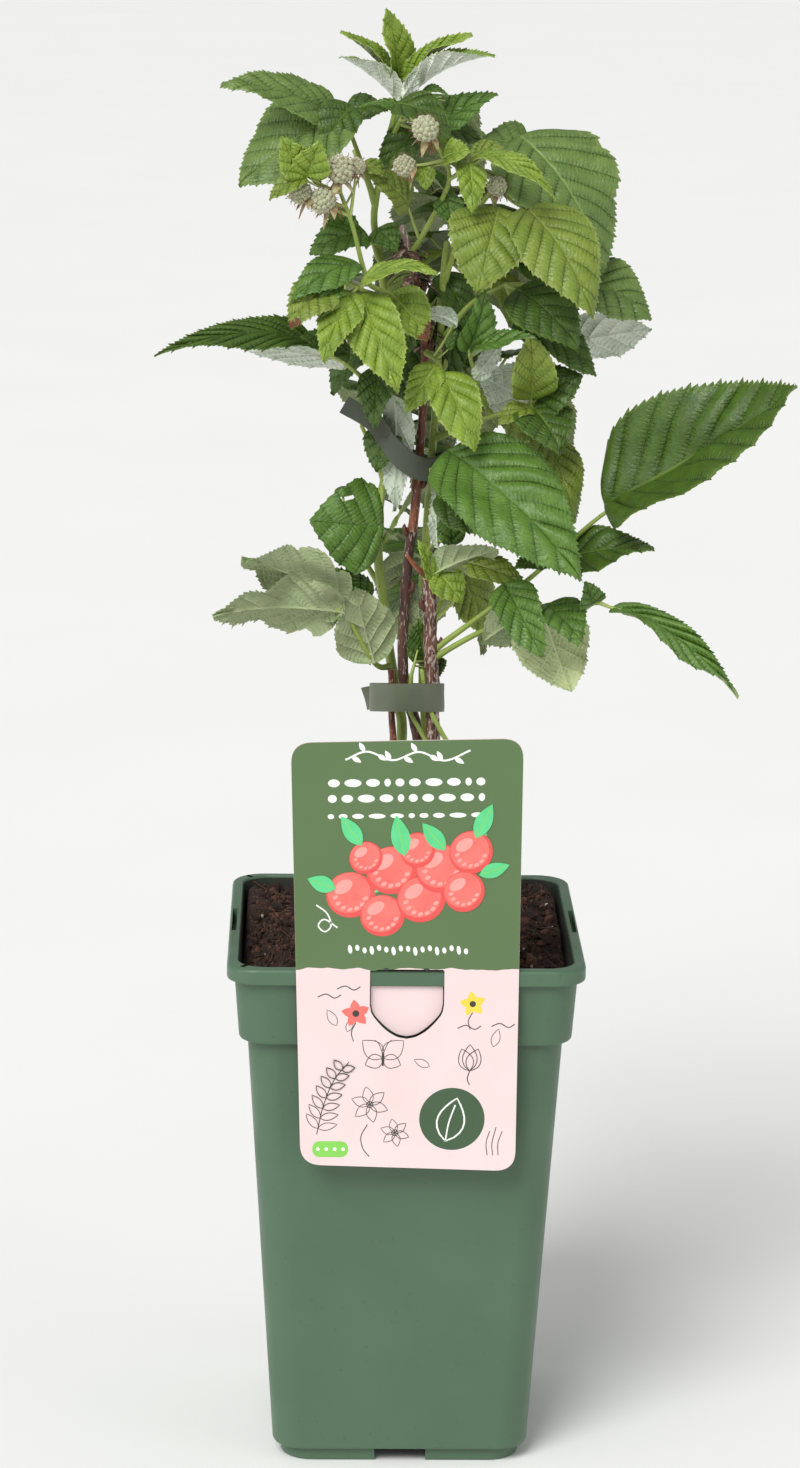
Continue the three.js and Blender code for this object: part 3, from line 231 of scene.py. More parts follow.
@dataclass(frozen=True)
class LeafFinish(Finish):
    """A leaf face, with its side veins and the ladder of cross veins between them, shown by relief and by
    painted shade in their furrows.

    It reads the mesh attribute "vein_place": the distance from the nearest side vein and the
    distance out along the side veins, in millimetres, and the share of the way to the rim.
    """

    furrow_shade_colour: str = "3d5a1e"
    furrow_shade_share: float = 0.52
    rung_shade_share: float = 0.4
    rim: str = "8fae50"

    RUNG = 1.9  # from one cross vein to the next, in millimetres
    RUNG_DEPTH = -0.7
    FURROW_SHADE_EDGE = (0.15, 0.7)
    RIM_START = 0.93
    RIM_SHOWN = 0.7

    def reckoned(self, tree: Tree, way: str, *given: Any) -> Socket:
        """The result of a sum on sockets and numbers.

        Args:
            tree: The material's node tree.
            way: The Math node's operation.
            given: Sockets and numbers, in order.

        Returns:
            The result.
        """
        numbers = {k: g for k, g in enumerate(given) if isinstance(g, (int, float))}
        sockets = {k: g for k, g in enumerate(given) if k not in numbers}
        return add_node(tree, "Math", {"operation": way, **numbers}, sockets).outputs[0]

    def vein_place(self, tree: Tree) -> tuple[Socket, ...]:
        """The distances from the nearest side vein and from the midrib, and the share to the rim."""
        read = add_node(tree, "Attribute", {"attribute_name": "vein_place"}).outputs["Vector"]
        return tuple(add_node(tree, "SeparateXYZ", links={0: read}).outputs)

    def rungs(self, tree: Tree) -> Socket:
        """The cross veins: 1 in the furrow of each, fading towards the crest of the pleat.

        Args:
            tree: The material's node tree.

        Returns:
            How much of a vein shows, from 0 to 1.
        """
        beside, out, _ = self.vein_place(tree)
        bent = self.reckoned(tree, "MULTIPLY_ADD", self.pattern(tree, 3.5, 2), 11.0, 0.0)
        turn = self.reckoned(tree, "MULTIPLY_ADD", out, 2 * math.pi / self.RUNG, bent)
        wave = self.spread(tree, self.reckoned(tree, "SINE", turn), -0.2, 0.95, 0.0, 1.0)
        broken = self.spread(tree, self.pattern(tree, 2.8, 1), 0.35, 0.6, 0.3, 1.0)
        fade = self.spread(tree, beside, 0.8, 5.0, 1.0, 0.15)
        shown = self.reckoned(tree, "MULTIPLY", wave, broken)
        return self.reckoned(tree, "MULTIPLY", shown, fade)

    def height(self, tree: Tree) -> Socket:
        """Blistered cells between the cross veins, with a fine grain."""
        grain = self.pattern(tree, self.grain, 3)
        return self.reckoned(tree, "MULTIPLY_ADD", self.rungs(tree), self.RUNG_DEPTH, grain)

    def base_colour(self, tree: Tree) -> Socket:
        """The drifting green, with painted shade in the furrows along the veins and across the cross veins.

        Args:
            tree: The material's node tree.

        Returns:
            The colour.
        """
        colour = super().base_colour(tree)
        beside, _, outward = self.vein_place(tree)
        # Painted shade: the furrow colour along the side veins and in the cross-vein ladder.
        line = self.spread(tree, beside, *self.FURROW_SHADE_EDGE, self.furrow_shade_share, 0.0)
        shown = self.reckoned(tree, "MULTIPLY_ADD", self.rungs(tree), self.rung_shade_share, line)
        colour = self.tinted(tree, shown, colour, self.furrow_shade_colour)
        rim = self.spread(tree, outward, self.RIM_START, 1.0, 0.0, self.RIM_SHOWN)
        return self.tinted(tree, rim, colour, self.rim)


@dataclass(frozen=True)
class Ink(Finish):
    """Printing ink: flat and even, with a faint gloss."""

    patch: float = 9
    roughness: float = 0.35
    relief: float = 0.003


@dataclass(frozen=True)
class Bark(Finish):
    """Raspberry bark, split lengthwise into papery flakes that show as pale streaks."""

    patch: float = 4
    drift_share: float = 0.95
    fleck_detail: float = 3
    roughness: float = 0.6
    grain: float = 1.1
    stretch: Point = (1, 1, 0.24)


# Polypropylene, injection moulded and matt: an even green with a soft satin light on it, finely
# grained by the mould, with dust and specks of compost.
POT_PLASTIC = Finish(
    "polypropylene_moulded_green", "4c6850", "466149", patch=60, drift_share=0.6,
    fleck_colour="4a5a47", fleck=2.2, fleck_share=0.0, roughness=0.42, roughness_drift=0.07,
    grain=0.6, relief=0.02, ior=1.49,
)
# The inside of the rim, dulled by dust and splashed peat, in a darker green that is painted shade of the
# recess.
POT_INSIDE = Finish(
    "polypropylene_dusty_inside", "2c3a2d", "1f241c", patch=12, drift_share=0.9, fleck_colour="3a2a20",
    fleck=2.5, fleck_share=0.5, roughness=0.7, grain=0.8, relief=0.05,
)
# Moist peat and coir: near black brown, crumbly, with no shine.
PEAT_MIX = Finish(
    "peat_compost_moist", "22150e", "42281b", patch=5, fleck_colour="7a5540", fleck=1.3,
    fleck_share=0.2, roughness=0.95, roughness_drift=0.05, grain=0.8, relief=0.6,
)
BARK_CRUMB = Finish(
    "composted_bark_chip", "573424", "38221a", patch=3, roughness=0.85, grain=0.6, relief=0.3,
)
COIR_FIBRE = Finish("coir_fibre_dry", "5f3d2b", "40291e", patch=4, roughness=0.8, grain=0.5)
GRIT = Finish("perlite_grain_pale", "b9b3a6", "8f877a", patch=2, roughness=0.9, grain=0.4, relief=0.2)
# Printed polypropylene sheet: flat even ink with a faint gloss.
CARD_PINK = Finish(
    "printed_card_pale_pink", "e8d3d3", "e1c8c5", patch=45, roughness=0.38, grain=0.5, relief=0.004,
)
CARD_GREEN = Finish(
    "printed_card_leaf_green", "587248", "556e46", patch=50, roughness=0.38, grain=0.5, relief=0.004,
)
INK_WHITE = Ink("printing_ink_white", "f2f4ee", "e9ece4", patch=30, roughness=0.4)
INK_DARK = Ink("printing_ink_dark_line", "3c3f3a", "30332f", patch=30, roughness=0.4)
INK_CORAL = Ink("printing_ink_coral", "f26a62", "ee8077")
INK_RED = Ink("printing_ink_deep_coral", "df4f4c", "e05a52")
INK_ROSE = Ink("printing_ink_rose_light", "f7a29a", "f59088", patch=6)
INK_MINT = Ink("printing_ink_mint_green", "5fd08a", "4fbf78", patch=8)
INK_FOREST = Ink("printing_ink_forest_green", "3f5a3c", "395237", patch=30, roughness=0.4)
INK_LIME = Ink("printing_ink_lime_green", "86cf58", "7cc450", patch=20, roughness=0.4)
INK_YELLOW = Ink("printing_ink_yellow", "f0d24a", "e8c83e", roughness=0.4)
# Soft vinyl tying tape: dull olive with a waxy light where it bends.
TYING_TAPE = Finish(
    "soft_vinyl_tying_tape", "5b614f", "636a56", patch=30, roughness=0.42, grain=1.2, relief=0.05,
    stretch=(1, 1, 0.5),
)
# The same tape in a darker copy for the upper tie: painted shade.
SHADED_TAPE = Finish(
    "soft_vinyl_tying_tape_painted_shade", "41473a", "4a5143", patch=30, roughness=0.5, grain=1.2, relief=0.05,
    stretch=(1, 1, 0.5),
)
# Second-year bark: brown with a grey bloom.
CANE_BARK = Bark(
    "raspberry_bark_glossy_brown", "8a4c2e", "4d2a1d", patch=5, fleck_colour="cdb49a", fleck=0.8,
    fleck_share=0.42, roughness=0.38, relief=0.3,
)
# The same bark from the mix up: darker and duller, with grey flecks.
CANE_FOOT = Bark(
    "raspberry_bark_greyed", "5e3b2f", "2f1c17", fleck_colour="ac9a8c", fleck_share=0.55,
    roughness_drift=0.12, relief=0.45, stretch=(1, 1, 0.22),
)
# The dead top of the main cane, bleached where the bark has dried thin.
CANE_TOP = Bark(
    "raspberry_bark_bleached", "b3a097", "7d5347", drift_share=0.9, fleck_colour="dcd4cd",
    fleck=0.9, fleck_share=0.6, fleck_detail=2, grain=0.9, relief=0.3, stretch=(1, 1, 0.25),
)
# Dead bark on the old cane, cracked and weathered grey.
OLD_BARK = Bark(
    "weathered_cane_bark_flaky", "74483a", "3d241d", patch=3, fleck_colour="b8a99d",
    fleck_share=0.78, roughness=0.7, grain=1.0, relief=0.6, stretch=(1, 1, 0.26),
)
CUT_WOOD = Finish(
    "cut_cane_wood_dry", "c9b290", "a98f6c", patch=1.5, roughness=0.8, grain=0.5, relief=0.2,
)
# Young green cane: smooth skin with a faint bloom.
GREEN_CANE = Finish(
    "young_cane_skin", "93a64e", "7f9440", patch=14, drift_share=0.8, fleck_colour="4a3b26",
    fleck=0.9, fleck_share=0.2, roughness=0.42, grain=0.8, relief=0.06,
)
# Leaf stalks: pale green and finely downy.
STALK_SKIN = Finish(
    "leaf_stalk_downy", "a9b968", "98aa56", patch=8, roughness=0.55, grain=0.4, relief=0.03,
)
# Unripe raspberry: grey-green drupelets under a close grey down.
UNRIPE_FRUIT = Finish(
    "unripe_drupelet_downy", "b5b994", "9a9277", patch=3, roughness=0.7, grain=0.3, relief=0.03,
    sheen=0.5,
)
DRY_STYLE = Finish("withered_style_brown", "8a5f45", "6d4733", patch=2, roughness=0.8, grain=0.3)
BROWNED = Finish(
    "dead_leaf_brown", "7a4a2a", "4f2f1f", patch=3, drift_share=0.9, roughness=0.7, grain=0.8, relief=0.3,
)
SEPAL = Finish(
    "sepal_downy_reddened", "a9a676", "94674c", patch=2.5, drift_share=0.9, roughness=0.7, grain=0.4,
    sheen=0.3,
)
# Dead scales and stipules about the top of the old wood: papery, from grey tan to near black.
DRY_HUSK = Finish(
    "withered_husk_papery", "6b5142", "2b1f19", patch=3, drift_share=1.0, fleck_colour="a8937f", fleck=2.4,
    fleck_share=0.45, roughness=0.8, grain=0.6, relief=0.2,
)
BUD_SCALE = Finish("bud_scale_brown", "5c3528", "3c231c", patch=2, roughness=0.5, grain=0.5, relief=0.1)
FLOOR = Finish("studio_floor_pale", "f4f4f2", "f1f1ef", patch=400, roughness=0.8, relief=0.0)


class Tint(Enum):
    """The greens that the leaves are dealt: upper face, drift, midrib, furrow (painted shade for the vein
    furrows), felt and rib.
    """

    BRIGHT = ("829a32", "6c862b", "a3b55a", "647c24", "98a676", "a5b180")
    MID = ("5c7e30", "4a6c24", "527630", "2f4a18", "8e9d6c", "9ba877")
    FRESH = ("6b8440", "587234", "7d9650", "3c5824", "98a676", "a5b180")
    DARK = ("466219", "385214", "5a7429", "263c10", "8b9a69", "98a575")
    OLIVE = ("7a8d34", "687d29", "909f54", "52641f", "94a270", "a1ad7c")
    PALE = ("6f8a48", "5d7838", "84a05c", "4c6a2c", "98a67a", "a7b388")
    SILVER = ("6c8c4c", "5a7a3c", "86a462", "4a6a30", "b9c3b0", "c8d1bf")
    WOOLLY = ("7f9a3c", "6c8a34", "9cb25a", "66832c", "d2dacb", "e2e8dc")
    LIT = ("8fa85c", "7d984c", "a0b870", "64803a", "b6c38e", "c2cd9e")

    @property
    def finishes(self) -> list[Finish]:
        """The upper face and its midrib, the underside and its ribs, and the brown of dead parts.

        Returns:
            The finishes, in the order of a blade's marks.
        """
        colour, drift, midrib, furrow, felt, rib = self.value
        kind = self.name.lower()
        # The upper face is waxy, with a soft broken gloss.
        upper = LeafFinish(
            f"raspberry_leaf_upper_{kind}", colour, drift, patch=8, drift_share=0.9, roughness=0.42,
            grain=2.1, relief=0.5, ior=1.45, furrow_shade_colour=furrow, rim=midrib,
        )
        # White hairs cover the underside, which has no gloss; its drift green marks the furrows as painted
        # shade.
        under = LeafFinish(
            f"raspberry_leaf_felt_{kind}", felt, rib, patch=7, drift_share=0.7, roughness=0.78, grain=1.2,
            relief=0.5, sheen=0.2, furrow_shade_colour=drift, furrow_shade_share=0.3, rung_shade_share=0.42, rim=rib,
        )
        above = Finish(
            f"raspberry_leaf_midrib_{kind}", midrib, drift, patch=6, drift_share=0.3, ior=1.4
        )
        below = Finish(
            f"raspberry_leaf_rib_{kind}", rib, felt, patch=6, roughness=0.68, grain=0.6, sheen=0.2
        )
        return [upper, above, under, below, BROWNED]


# ---------- meshes


def unit(vector: Array) -> Array:
    """The vector, or each row of it, at length 1."""
    return vector / np.maximum(np.linalg.norm(vector, axis=-1, keepdims=True), 1e-9)


def aim(heading: float, rise: float) -> Array:
    """The direction with that heading and rise, in degrees.

    Args:
        heading: 0 to the front, 90 to the right.
        rise: Above level.

    Returns:
        A unit vector.
    """
    turn, lift = math.radians(heading), math.radians(rise)
    return np.array(
        [math.sin(turn) * math.cos(lift), -math.cos(turn) * math.cos(lift), math.sin(lift)]
    )


def linked(name: str, data: Any) -> Piece:
    """Makes an object of a mesh, light or camera and puts it in the scene.

    Args:
        name: The object's name.
        data: What it holds.

    Returns:
        The object.
    """
    made = bpy.data.objects.new(name, data)
    bpy.context.scene.collection.objects.link(made)
    return made


@dataclass
class Skin:
    """Points and faces gathered for one object, with a finish for each face."""

    points: list[Array] = field(default_factory=list)
    faces: list[Array] = field(default_factory=list)
    marks: list[Array] = field(default_factory=list)
    veins: list[Array] = field(default_factory=list)
    count: int = 0

    def add(
        self, points: Array, faces: Array, finish: int | Array = 0, veins: Array | None = None
    ) -> None:
        """Adds a patch of points and its faces.

        Args:
            points: n by 3, in millimetres.
            faces: m by 3 or m by 4 point numbers within this patch.
            finish: The number of the faces' finish, or one number for each.
            veins: Where each point of a leaf lies among its veins, n by 3.
        """
        if veins is not None:
            self.veins.append(veins)
        self.points.append(np.asarray(points, float))
        self.faces.append(np.asarray(faces, int) + self.count)
        self.marks.append(np.broadcast_to(finish, len(faces)).astype(int))
        self.count += len(points)

    def loft(
        self, rings: Sequence[Array], finish: int = 0, caps: Sequence[int | None] | None = None
    ) -> None:
        """Adds a skin over rings of equally many points, with a fan over each end.

        Args:
            rings: The rings in order, each n by 3, anticlockwise seen from the last one.
            finish: The number of the finish.
            caps: The numbers for the first and last fan where they differ, or None for an open end.
        """
        size, layers = len(rings[0]), len(rings)
        around = np.arange(size)
        after = (around + 1) % size
        side = np.stack([around, after, after + size, around + size], 1)
        sides = np.concatenate([side + k * size for k in range(layers - 1)])
        start = self.count
        self.add(np.concatenate(rings), sides, finish)
        for end, cap in enumerate(caps or (finish, finish)):
            if cap is not None:
                first = start + (layers - 1) * size * end - self.count
                fan = [first + around, first + after][:: 1 if end else -1]
                fan = np.stack([*fan, np.zeros(size, int)], 1)
                self.add(rings[-end].mean(0, keepdims=True), fan, cap)

    def tube(self, path: Array, radii: Sequence[float], sides: int, finish: int = 0) -> None:
        """Adds a closed tube along a path; radii are as in tube_rings."""
        self.loft(tube_rings(path, np.asarray(radii), sides), finish)

    def shape(self, name: str, finishes: Sequence[Finish], sharp: float | None = 50) -> Piece:
        """Makes an object of the patches, on no body yet.

        Args:
            name: The object's name.
            finishes: The finishes that the faces' numbers mean.
            sharp: Edges that turn more than this many degrees stay sharp. None keeps all flat.

        Returns:
            The object.
        """
        mesh = bpy.data.meshes.new(name)
        points = np.concatenate(self.points) * MM
        sizes = np.concatenate([np.full(len(f), f.shape[1]) for f in self.faces])
        corners = np.concatenate([f.ravel() for f in self.faces])
        mesh.vertices.add(len(points))
        mesh.vertices.foreach_set("co", points.ravel())
        mesh.loops.add(len(corners))
        mesh.loops.foreach_set("vertex_index", corners)
        mesh.polygons.add(len(sizes))
        mesh.polygons.foreach_set("loop_start", np.concatenate([[0], np.cumsum(sizes)[:-1]]))
        for finish in finishes:
            mesh.materials.append(finish.material())
        mesh.polygons.foreach_set("material_index", np.concatenate(self.marks))
        mesh.polygons.foreach_set("use_smooth", np.full(len(sizes), sharp is not None))
        mesh.update(calc_edges=True)
        if self.veins:
            kept = mesh.attributes.new("vein_place", "FLOAT_VECTOR", "POINT")
            kept.data.foreach_set("vector", np.concatenate(self.veins).astype(np.float32).ravel())
        mesh.validate()
        if sharp is not None:
            mesh.set_sharp_from_angle(angle=math.radians(sharp))
        return linked(name, mesh)

    def build(
        self, name: str, finishes: Sequence[Finish], slot: str, replaces: Iterable[str] = (),
        sharp: float | None = 50,
    ) -> Piece:
        """Makes the object, puts it on the plant, and hides the CAD nodes that it stands for."""
        return place(self.shape(name, finishes, sharp), slot, replaces)


def place(made: Piece, slot: str, replaces: Iterable[str] = ()) -> Piece:
    """Rides a finished piece on the plant and hides the CAD nodes that it stands for.

    Args:
        made: The piece.
        slot: A material slot's name; it is not used.
        replaces: The CAD nodes that it stands for.

    Returns:
        The piece.
    """
    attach(made, "root")
    nodes = list(replaces)
    if nodes:
        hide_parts(*nodes)
    log.info("%s: %d faces", made.name, len(made.data.polygons))
    return made


def carved(target: Piece, cutters: Sequence[Piece], way: str) -> None:
    """Cuts, or fuses, other objects out of or onto one, and removes them.

    Args:
        target: The object that is changed.
        cutters: The objects that are used up.
        way: "DIFFERENCE" or "UNION".
    """
    for cutter in cutters:
        step = target.modifiers.new("carve", "BOOLEAN")
        step.operation = way
        step.solver = "EXACT"
        step.object = cutter
    bpy.context.view_layer.update()
    result = target.evaluated_get(bpy.context.evaluated_depsgraph_get())
    shape = bpy.data.meshes.new_from_object(result)
    target.modifiers.clear()
    target.data = shape
    for cutter in cutters:
        bpy.data.objects.remove(cutter)


def smooth_path(points: Sequence[Sequence[float]], step: float) -> Array:
    """A smooth curve through points, sampled evenly.

    Args:
        points: The points it passes.
        step: The distance between samples, in millimetres.

    Returns:
        The samples, n by 3.
    """
    given = np.asarray(points, float)
    if len(given) < 3:
        count = max(int(np.linalg.norm(given[-1] - given[0]) / step), 1) + 1
        return np.linspace(given[0], given[-1], count)
    padded = np.concatenate([[2 * given[0] - given[1]], given, [2 * given[-1] - given[-2]]])
    samples = []
    for before, start, end, after in zip(padded, padded[1:], padded[2:], padded[3:]):
        count = max(int(np.linalg.norm(end - start) / step), 1)
        share = np.arange(count)[:, None] / count
        bend = (2 * before - 5 * start + 4 * end - after) * share**2
        twist = (3 * start - before - 3 * end + after) * share**3
        samples.append(0.5 * (2 * start + (end - before) * share + bend + twist))
    return np.concatenate([*samples, given[-1:]])


def travel_of(path: Array, closed: bool) -> Array:
    """The way that a path goes at each of its points; a closed one meets itself."""
    return np.roll(path, -1, 0) - np.roll(path, 1, 0) if closed else np.gradient(path, axis=0)


def ring_frames(path: Array) -> tuple[Array, Array]:
    """Two directions across a path at each of its points, that never twist.

    Args:
        path: The points, n by 3.

    Returns:
        The side and the other direction, each n by 3.
    """
    travel = unit(np.gradient(path, axis=0))
    start = np.array([0.0, 0, 1]) if abs(travel[0, 2]) < 0.9 else np.array([1.0, 0, 0])
    side = unit(np.cross(start, travel[0]))
    sides = []
    for direction in travel:
        side = unit(side - direction * (side @ direction))
        sides.append(side)
    sides = np.array(sides)
    return sides, np.cross(travel, sides)


def round_turn(count: int) -> Array:
    """Evenly spaced angles once round, in radians."""
    return np.linspace(0, 2 * np.pi, count, endpoint=False)


def tube_rings(path: Array, radii: Array, sides: int) -> list[Array]:
    """The rings of a tube along a path.

    Args:
        path: The points, n by 3.
        radii: The radius at each point, or n by sides of them for a surface with relief.
        sides: How many points each ring has.

    Returns:
        The rings.
    """
    side, other = ring_frames(path)
    turn = round_turn(sides)[None, :, None]
    radii = np.asarray(radii, float)
    if radii.ndim == 1:
        radii = np.repeat(radii[:, None], sides, 1)
    across = np.cos(turn) * side[:, None] + np.sin(turn) * other[:, None]
    return list(path[:, None] + across * radii[..., None])


@dataclass(frozen=True)
class Ripple:
    """Smooth seeded waves in space, as a stand-in for noise that needs no image."""

    seed: int
    size: float
    waves: int = 14

    def at(self, points: Array) -> Array:
        """The height at each point, about -1 to 1.

        Args:
            points: n by 3, in millimetres.

        Returns:
            The heights.
        """
        draw = np.random.default_rng(self.seed)
        ways = unit(draw.normal(size=(self.waves, 3))) * draw.uniform(0.6, 1.6, (self.waves, 1))
        phases = draw.uniform(0, 2 * np.pi, self.waves)
        waves = np.sin(points @ ways.T * (2 * np.pi / self.size) + phases)
        return waves.sum(-1) / math.sqrt(self.waves)


# ---------- pot, mix and label


def square_ring(half: float, corner: float, z: float, arc: int = 10, side: int = 1) -> Array:
    """A level square ring with rounded corners, anticlockwise seen from above.

    Args:
        half: Half its width.
        corner: The radius of its corners.
        z: Its height.
        arc: How many steps each corner has.
        side: How many steps each straight side has.

    Returns:
        The ring's points, n by 3.
    """
    inner = half - corner
    turn = np.linspace(0, np.pi / 2, arc + 1)
    bend = np.stack([inner + corner * np.cos(turn), inner + corner * np.sin(turn)], 1)
    straight = np.linspace(inner, -inner, side + 1)[1:-1]
    quarter = np.concatenate([bend, np.stack([straight, np.full(side - 1, half)], 1)])
    ring = []
    for _ in range(4):
        ring.append(np.column_stack([quarter, np.full(len(quarter), z)]))
        quarter = np.stack([-quarter[:, 1], quarter[:, 0]], 1)
    return np.concatenate(ring)


def box_rings(low: Point, high: Point) -> list[Array]:
    """The lower and upper ring of the box between two corners."""
    corners = [(low[0], low[1]), (high[0], low[1]), (high[0], high[1]), (low[0], high[1])]
    return [np.array([(x, y, z) for x, y in corners]) for z in (low[2], high[2])]


@dataclass(frozen=True)
class SquarePot:
    """The moulded pot: a tapering square body under a collar and a lipped rim."""

    height: float = 258.8
    rim_half: float = 85
    rim_band: float = 8
    mouth_half: float = 79.5
    collar_top_half: float = 81.4
    collar_foot_half: float = 79.4
    collar_height: float = 31
    body_top_half: float = 75.3
    body_foot_half: float = 62.5
    wall: float = 2
    corner: float = 15
    foot_height: float = 7
    foot_inset: float = 4
    foot_gap: float = 25
    floor: float = 3
    pad_radius: float = 8
    drain_radius: float = 5
    drain_place: float = 0.6
    drain_high: float = 21
    slot_long: float = 38
    slot_wide: float = 2.3
    slot_middle: float = 82.7

    @property
    def collar_top(self) -> float:
        """The height where the collar meets the rim."""
        return self.height - self.rim_band

    @property
    def collar_foot(self) -> float:
        """The height of the collar's lower edge."""
        return self.collar_top - self.collar_height

    def hollow(self, shrink: float, top: float) -> list[Pair]:
        """The inside as pairs of half width and height.

        Args:
            shrink: The clearance kept from the wall.
            top: The height of the last pair.

        Returns:
            The pairs, from the floor up.
        """
        rise = (self.collar_foot - self.foot_height) / (self.body_top_half - self.body_foot_half)
        shoulder = self.collar_foot + self.wall
        inner = self.collar_foot_half - self.wall
        share = (top - shoulder) / (self.height - shoulder)
        foot = self.body_foot_half - self.wall + self.floor / rise
        return [
            (foot - shrink, self.foot_height + self.floor + shrink),
            (self.body_top_half - self.wall - shrink, self.collar_foot),
            (inner - 2 * shrink, shoulder + shrink),
            (inner + (self.mouth_half - inner) * share - shrink, top),
        ]

    def loose(self, rings: Sequence[Array], sharp: float | None = None) -> Piece:
        """A solid over rings, made as a loose object to be fused or cut away.

        Args:
            rings: The rings in order.
            sharp: As in Skin.shape.

        Returns:
            The object.
        """
        skin = Skin()
        skin.loft(rings)
        return skin.shape("loose_part", [POT_PLASTIC], sharp)

    def lofted(self, profile: Sequence[Pair], corner: float) -> Piece:
        """A square solid, from pairs of half width and height."""
        return self.loose([square_ring(half, corner, z) for half, z in profile], 30)

    def post(self, radius: float, x: float, y: float, high: float) -> Piece:
        """A round post from the ground up."""
        flat = oval((x, y), radius, radius, 0, 24)
        return self.loose([np.column_stack([flat, np.full(len(flat), z)]) for z in (0, high)])

    def outside(self) -> list[Pair]:
        """The outer profile from the underside up to the lip.

        Returns:
            Half widths and heights.
        """
        foot, band, rim = self.body_foot_half, self.collar_foot_half, self.rim_half
        low, high, top = self.collar_foot, self.collar_top, self.height
        return [
            (foot - 2, self.foot_height), (foot - 0.6, self.foot_height + 0.5),
            (foot, self.foot_height + 2), (self.body_top_half, low), (band - 1.2, low + 0.05),
            (band - 0.5, low + 0.4), (band - 0.1, low + 1.2), (band, low + 2.4),
            (self.collar_top_half, high - 0.8), (self.collar_top_half + 0.4, high),
            (rim - 0.9, high + 0.1), (rim - 0.2, high + 0.5), (rim, high + 1.3), (rim, top - 2),
            (rim - 0.3, top - 0.9), (rim - 1.0, top - 0.2), (rim - 1.8, top),
        ]

    def build(self) -> Piece:
        """Makes the pot with its hollow, feet, drain holes and rim slots.

        Returns:
            The pot.
        """
        pot = self.lofted(self.outside(), self.corner)
        pot.name = "pot_shell"
        inside = self.hollow(0, self.height - 1.2) + [
            (self.mouth_half + 0.2, self.height - 0.4),
            (self.mouth_half + 0.9, self.height + 0.5),
        ]
        carved(pot, [self.lofted(inside, self.corner - self.wall)], "DIFFERENCE")
        half = self.body_foot_half - self.foot_inset
        top = self.foot_height + self.floor / 2
        profile = [(half - 1.5, 0), (half - 0.4, 0.5), (half, 1.5), (half, top)]
        feet = self.lofted(profile, self.corner)
        gap, reach = self.foot_gap / 2, self.rim_half
        lanes = [
            self.loose(box_rings((-wide, -deep, -1), (wide, deep, self.foot_height)))
            for wide, deep in ((gap, reach), (reach, gap))
        ]
        carved(feet, lanes, "DIFFERENCE")
        carved(pot, [feet, self.post(self.pad_radius, 0, 0, top)], "UNION")
        cutters = []
        long, thin = self.slot_long / 2, self.slot_wide / 2
        for side in range(4):
            turned = [(long, thin), (thin, long)][side % 2]
            x, y = [(0, -1), (1, 0), (0, 1), (-1, 0)][side]
            middle = (x * self.slot_middle, y * self.slot_middle)
            bottom = self.collar_top + (1.5 if side else -1)
            low = (middle[0] - turned[0], middle[1] - turned[1], bottom)
            high = (middle[0] + turned[0], middle[1] + turned[1], self.height + 1)
            cutters.append(self.loose(box_rings(low, high)))
            out = half * self.drain_place
            cutters.append(self.post(self.drain_radius, x * out, y * out, self.drain_high))
        carved(pot, cutters, "DIFFERENCE")
        # The inward faces of the mouth take the darker inside finish: painted shade, with peat flecks.
        pot.data.materials.append(POT_INSIDE.material())
        for face in pot.data.polygons:
            face.use_smooth = True
            x, y, z = (value / MM for value in face.center)
            faces_in = face.normal.x * x + face.normal.y * y < -0.2
            within = max(abs(x), abs(y)) < self.mouth_half + 0.5 and self.floor < z < self.height - 3
            if faces_in and within:
                face.material_index = len(pot.data.materials) - 1
        pot.data.set_sharp_from_angle(angle=math.radians(40))
        weighted = pot.modifiers.new("weighted_normals", "WEIGHTED_NORMAL")
        weighted.keep_sharp = True
        return place(pot, "pot_plastic", ["pot"])


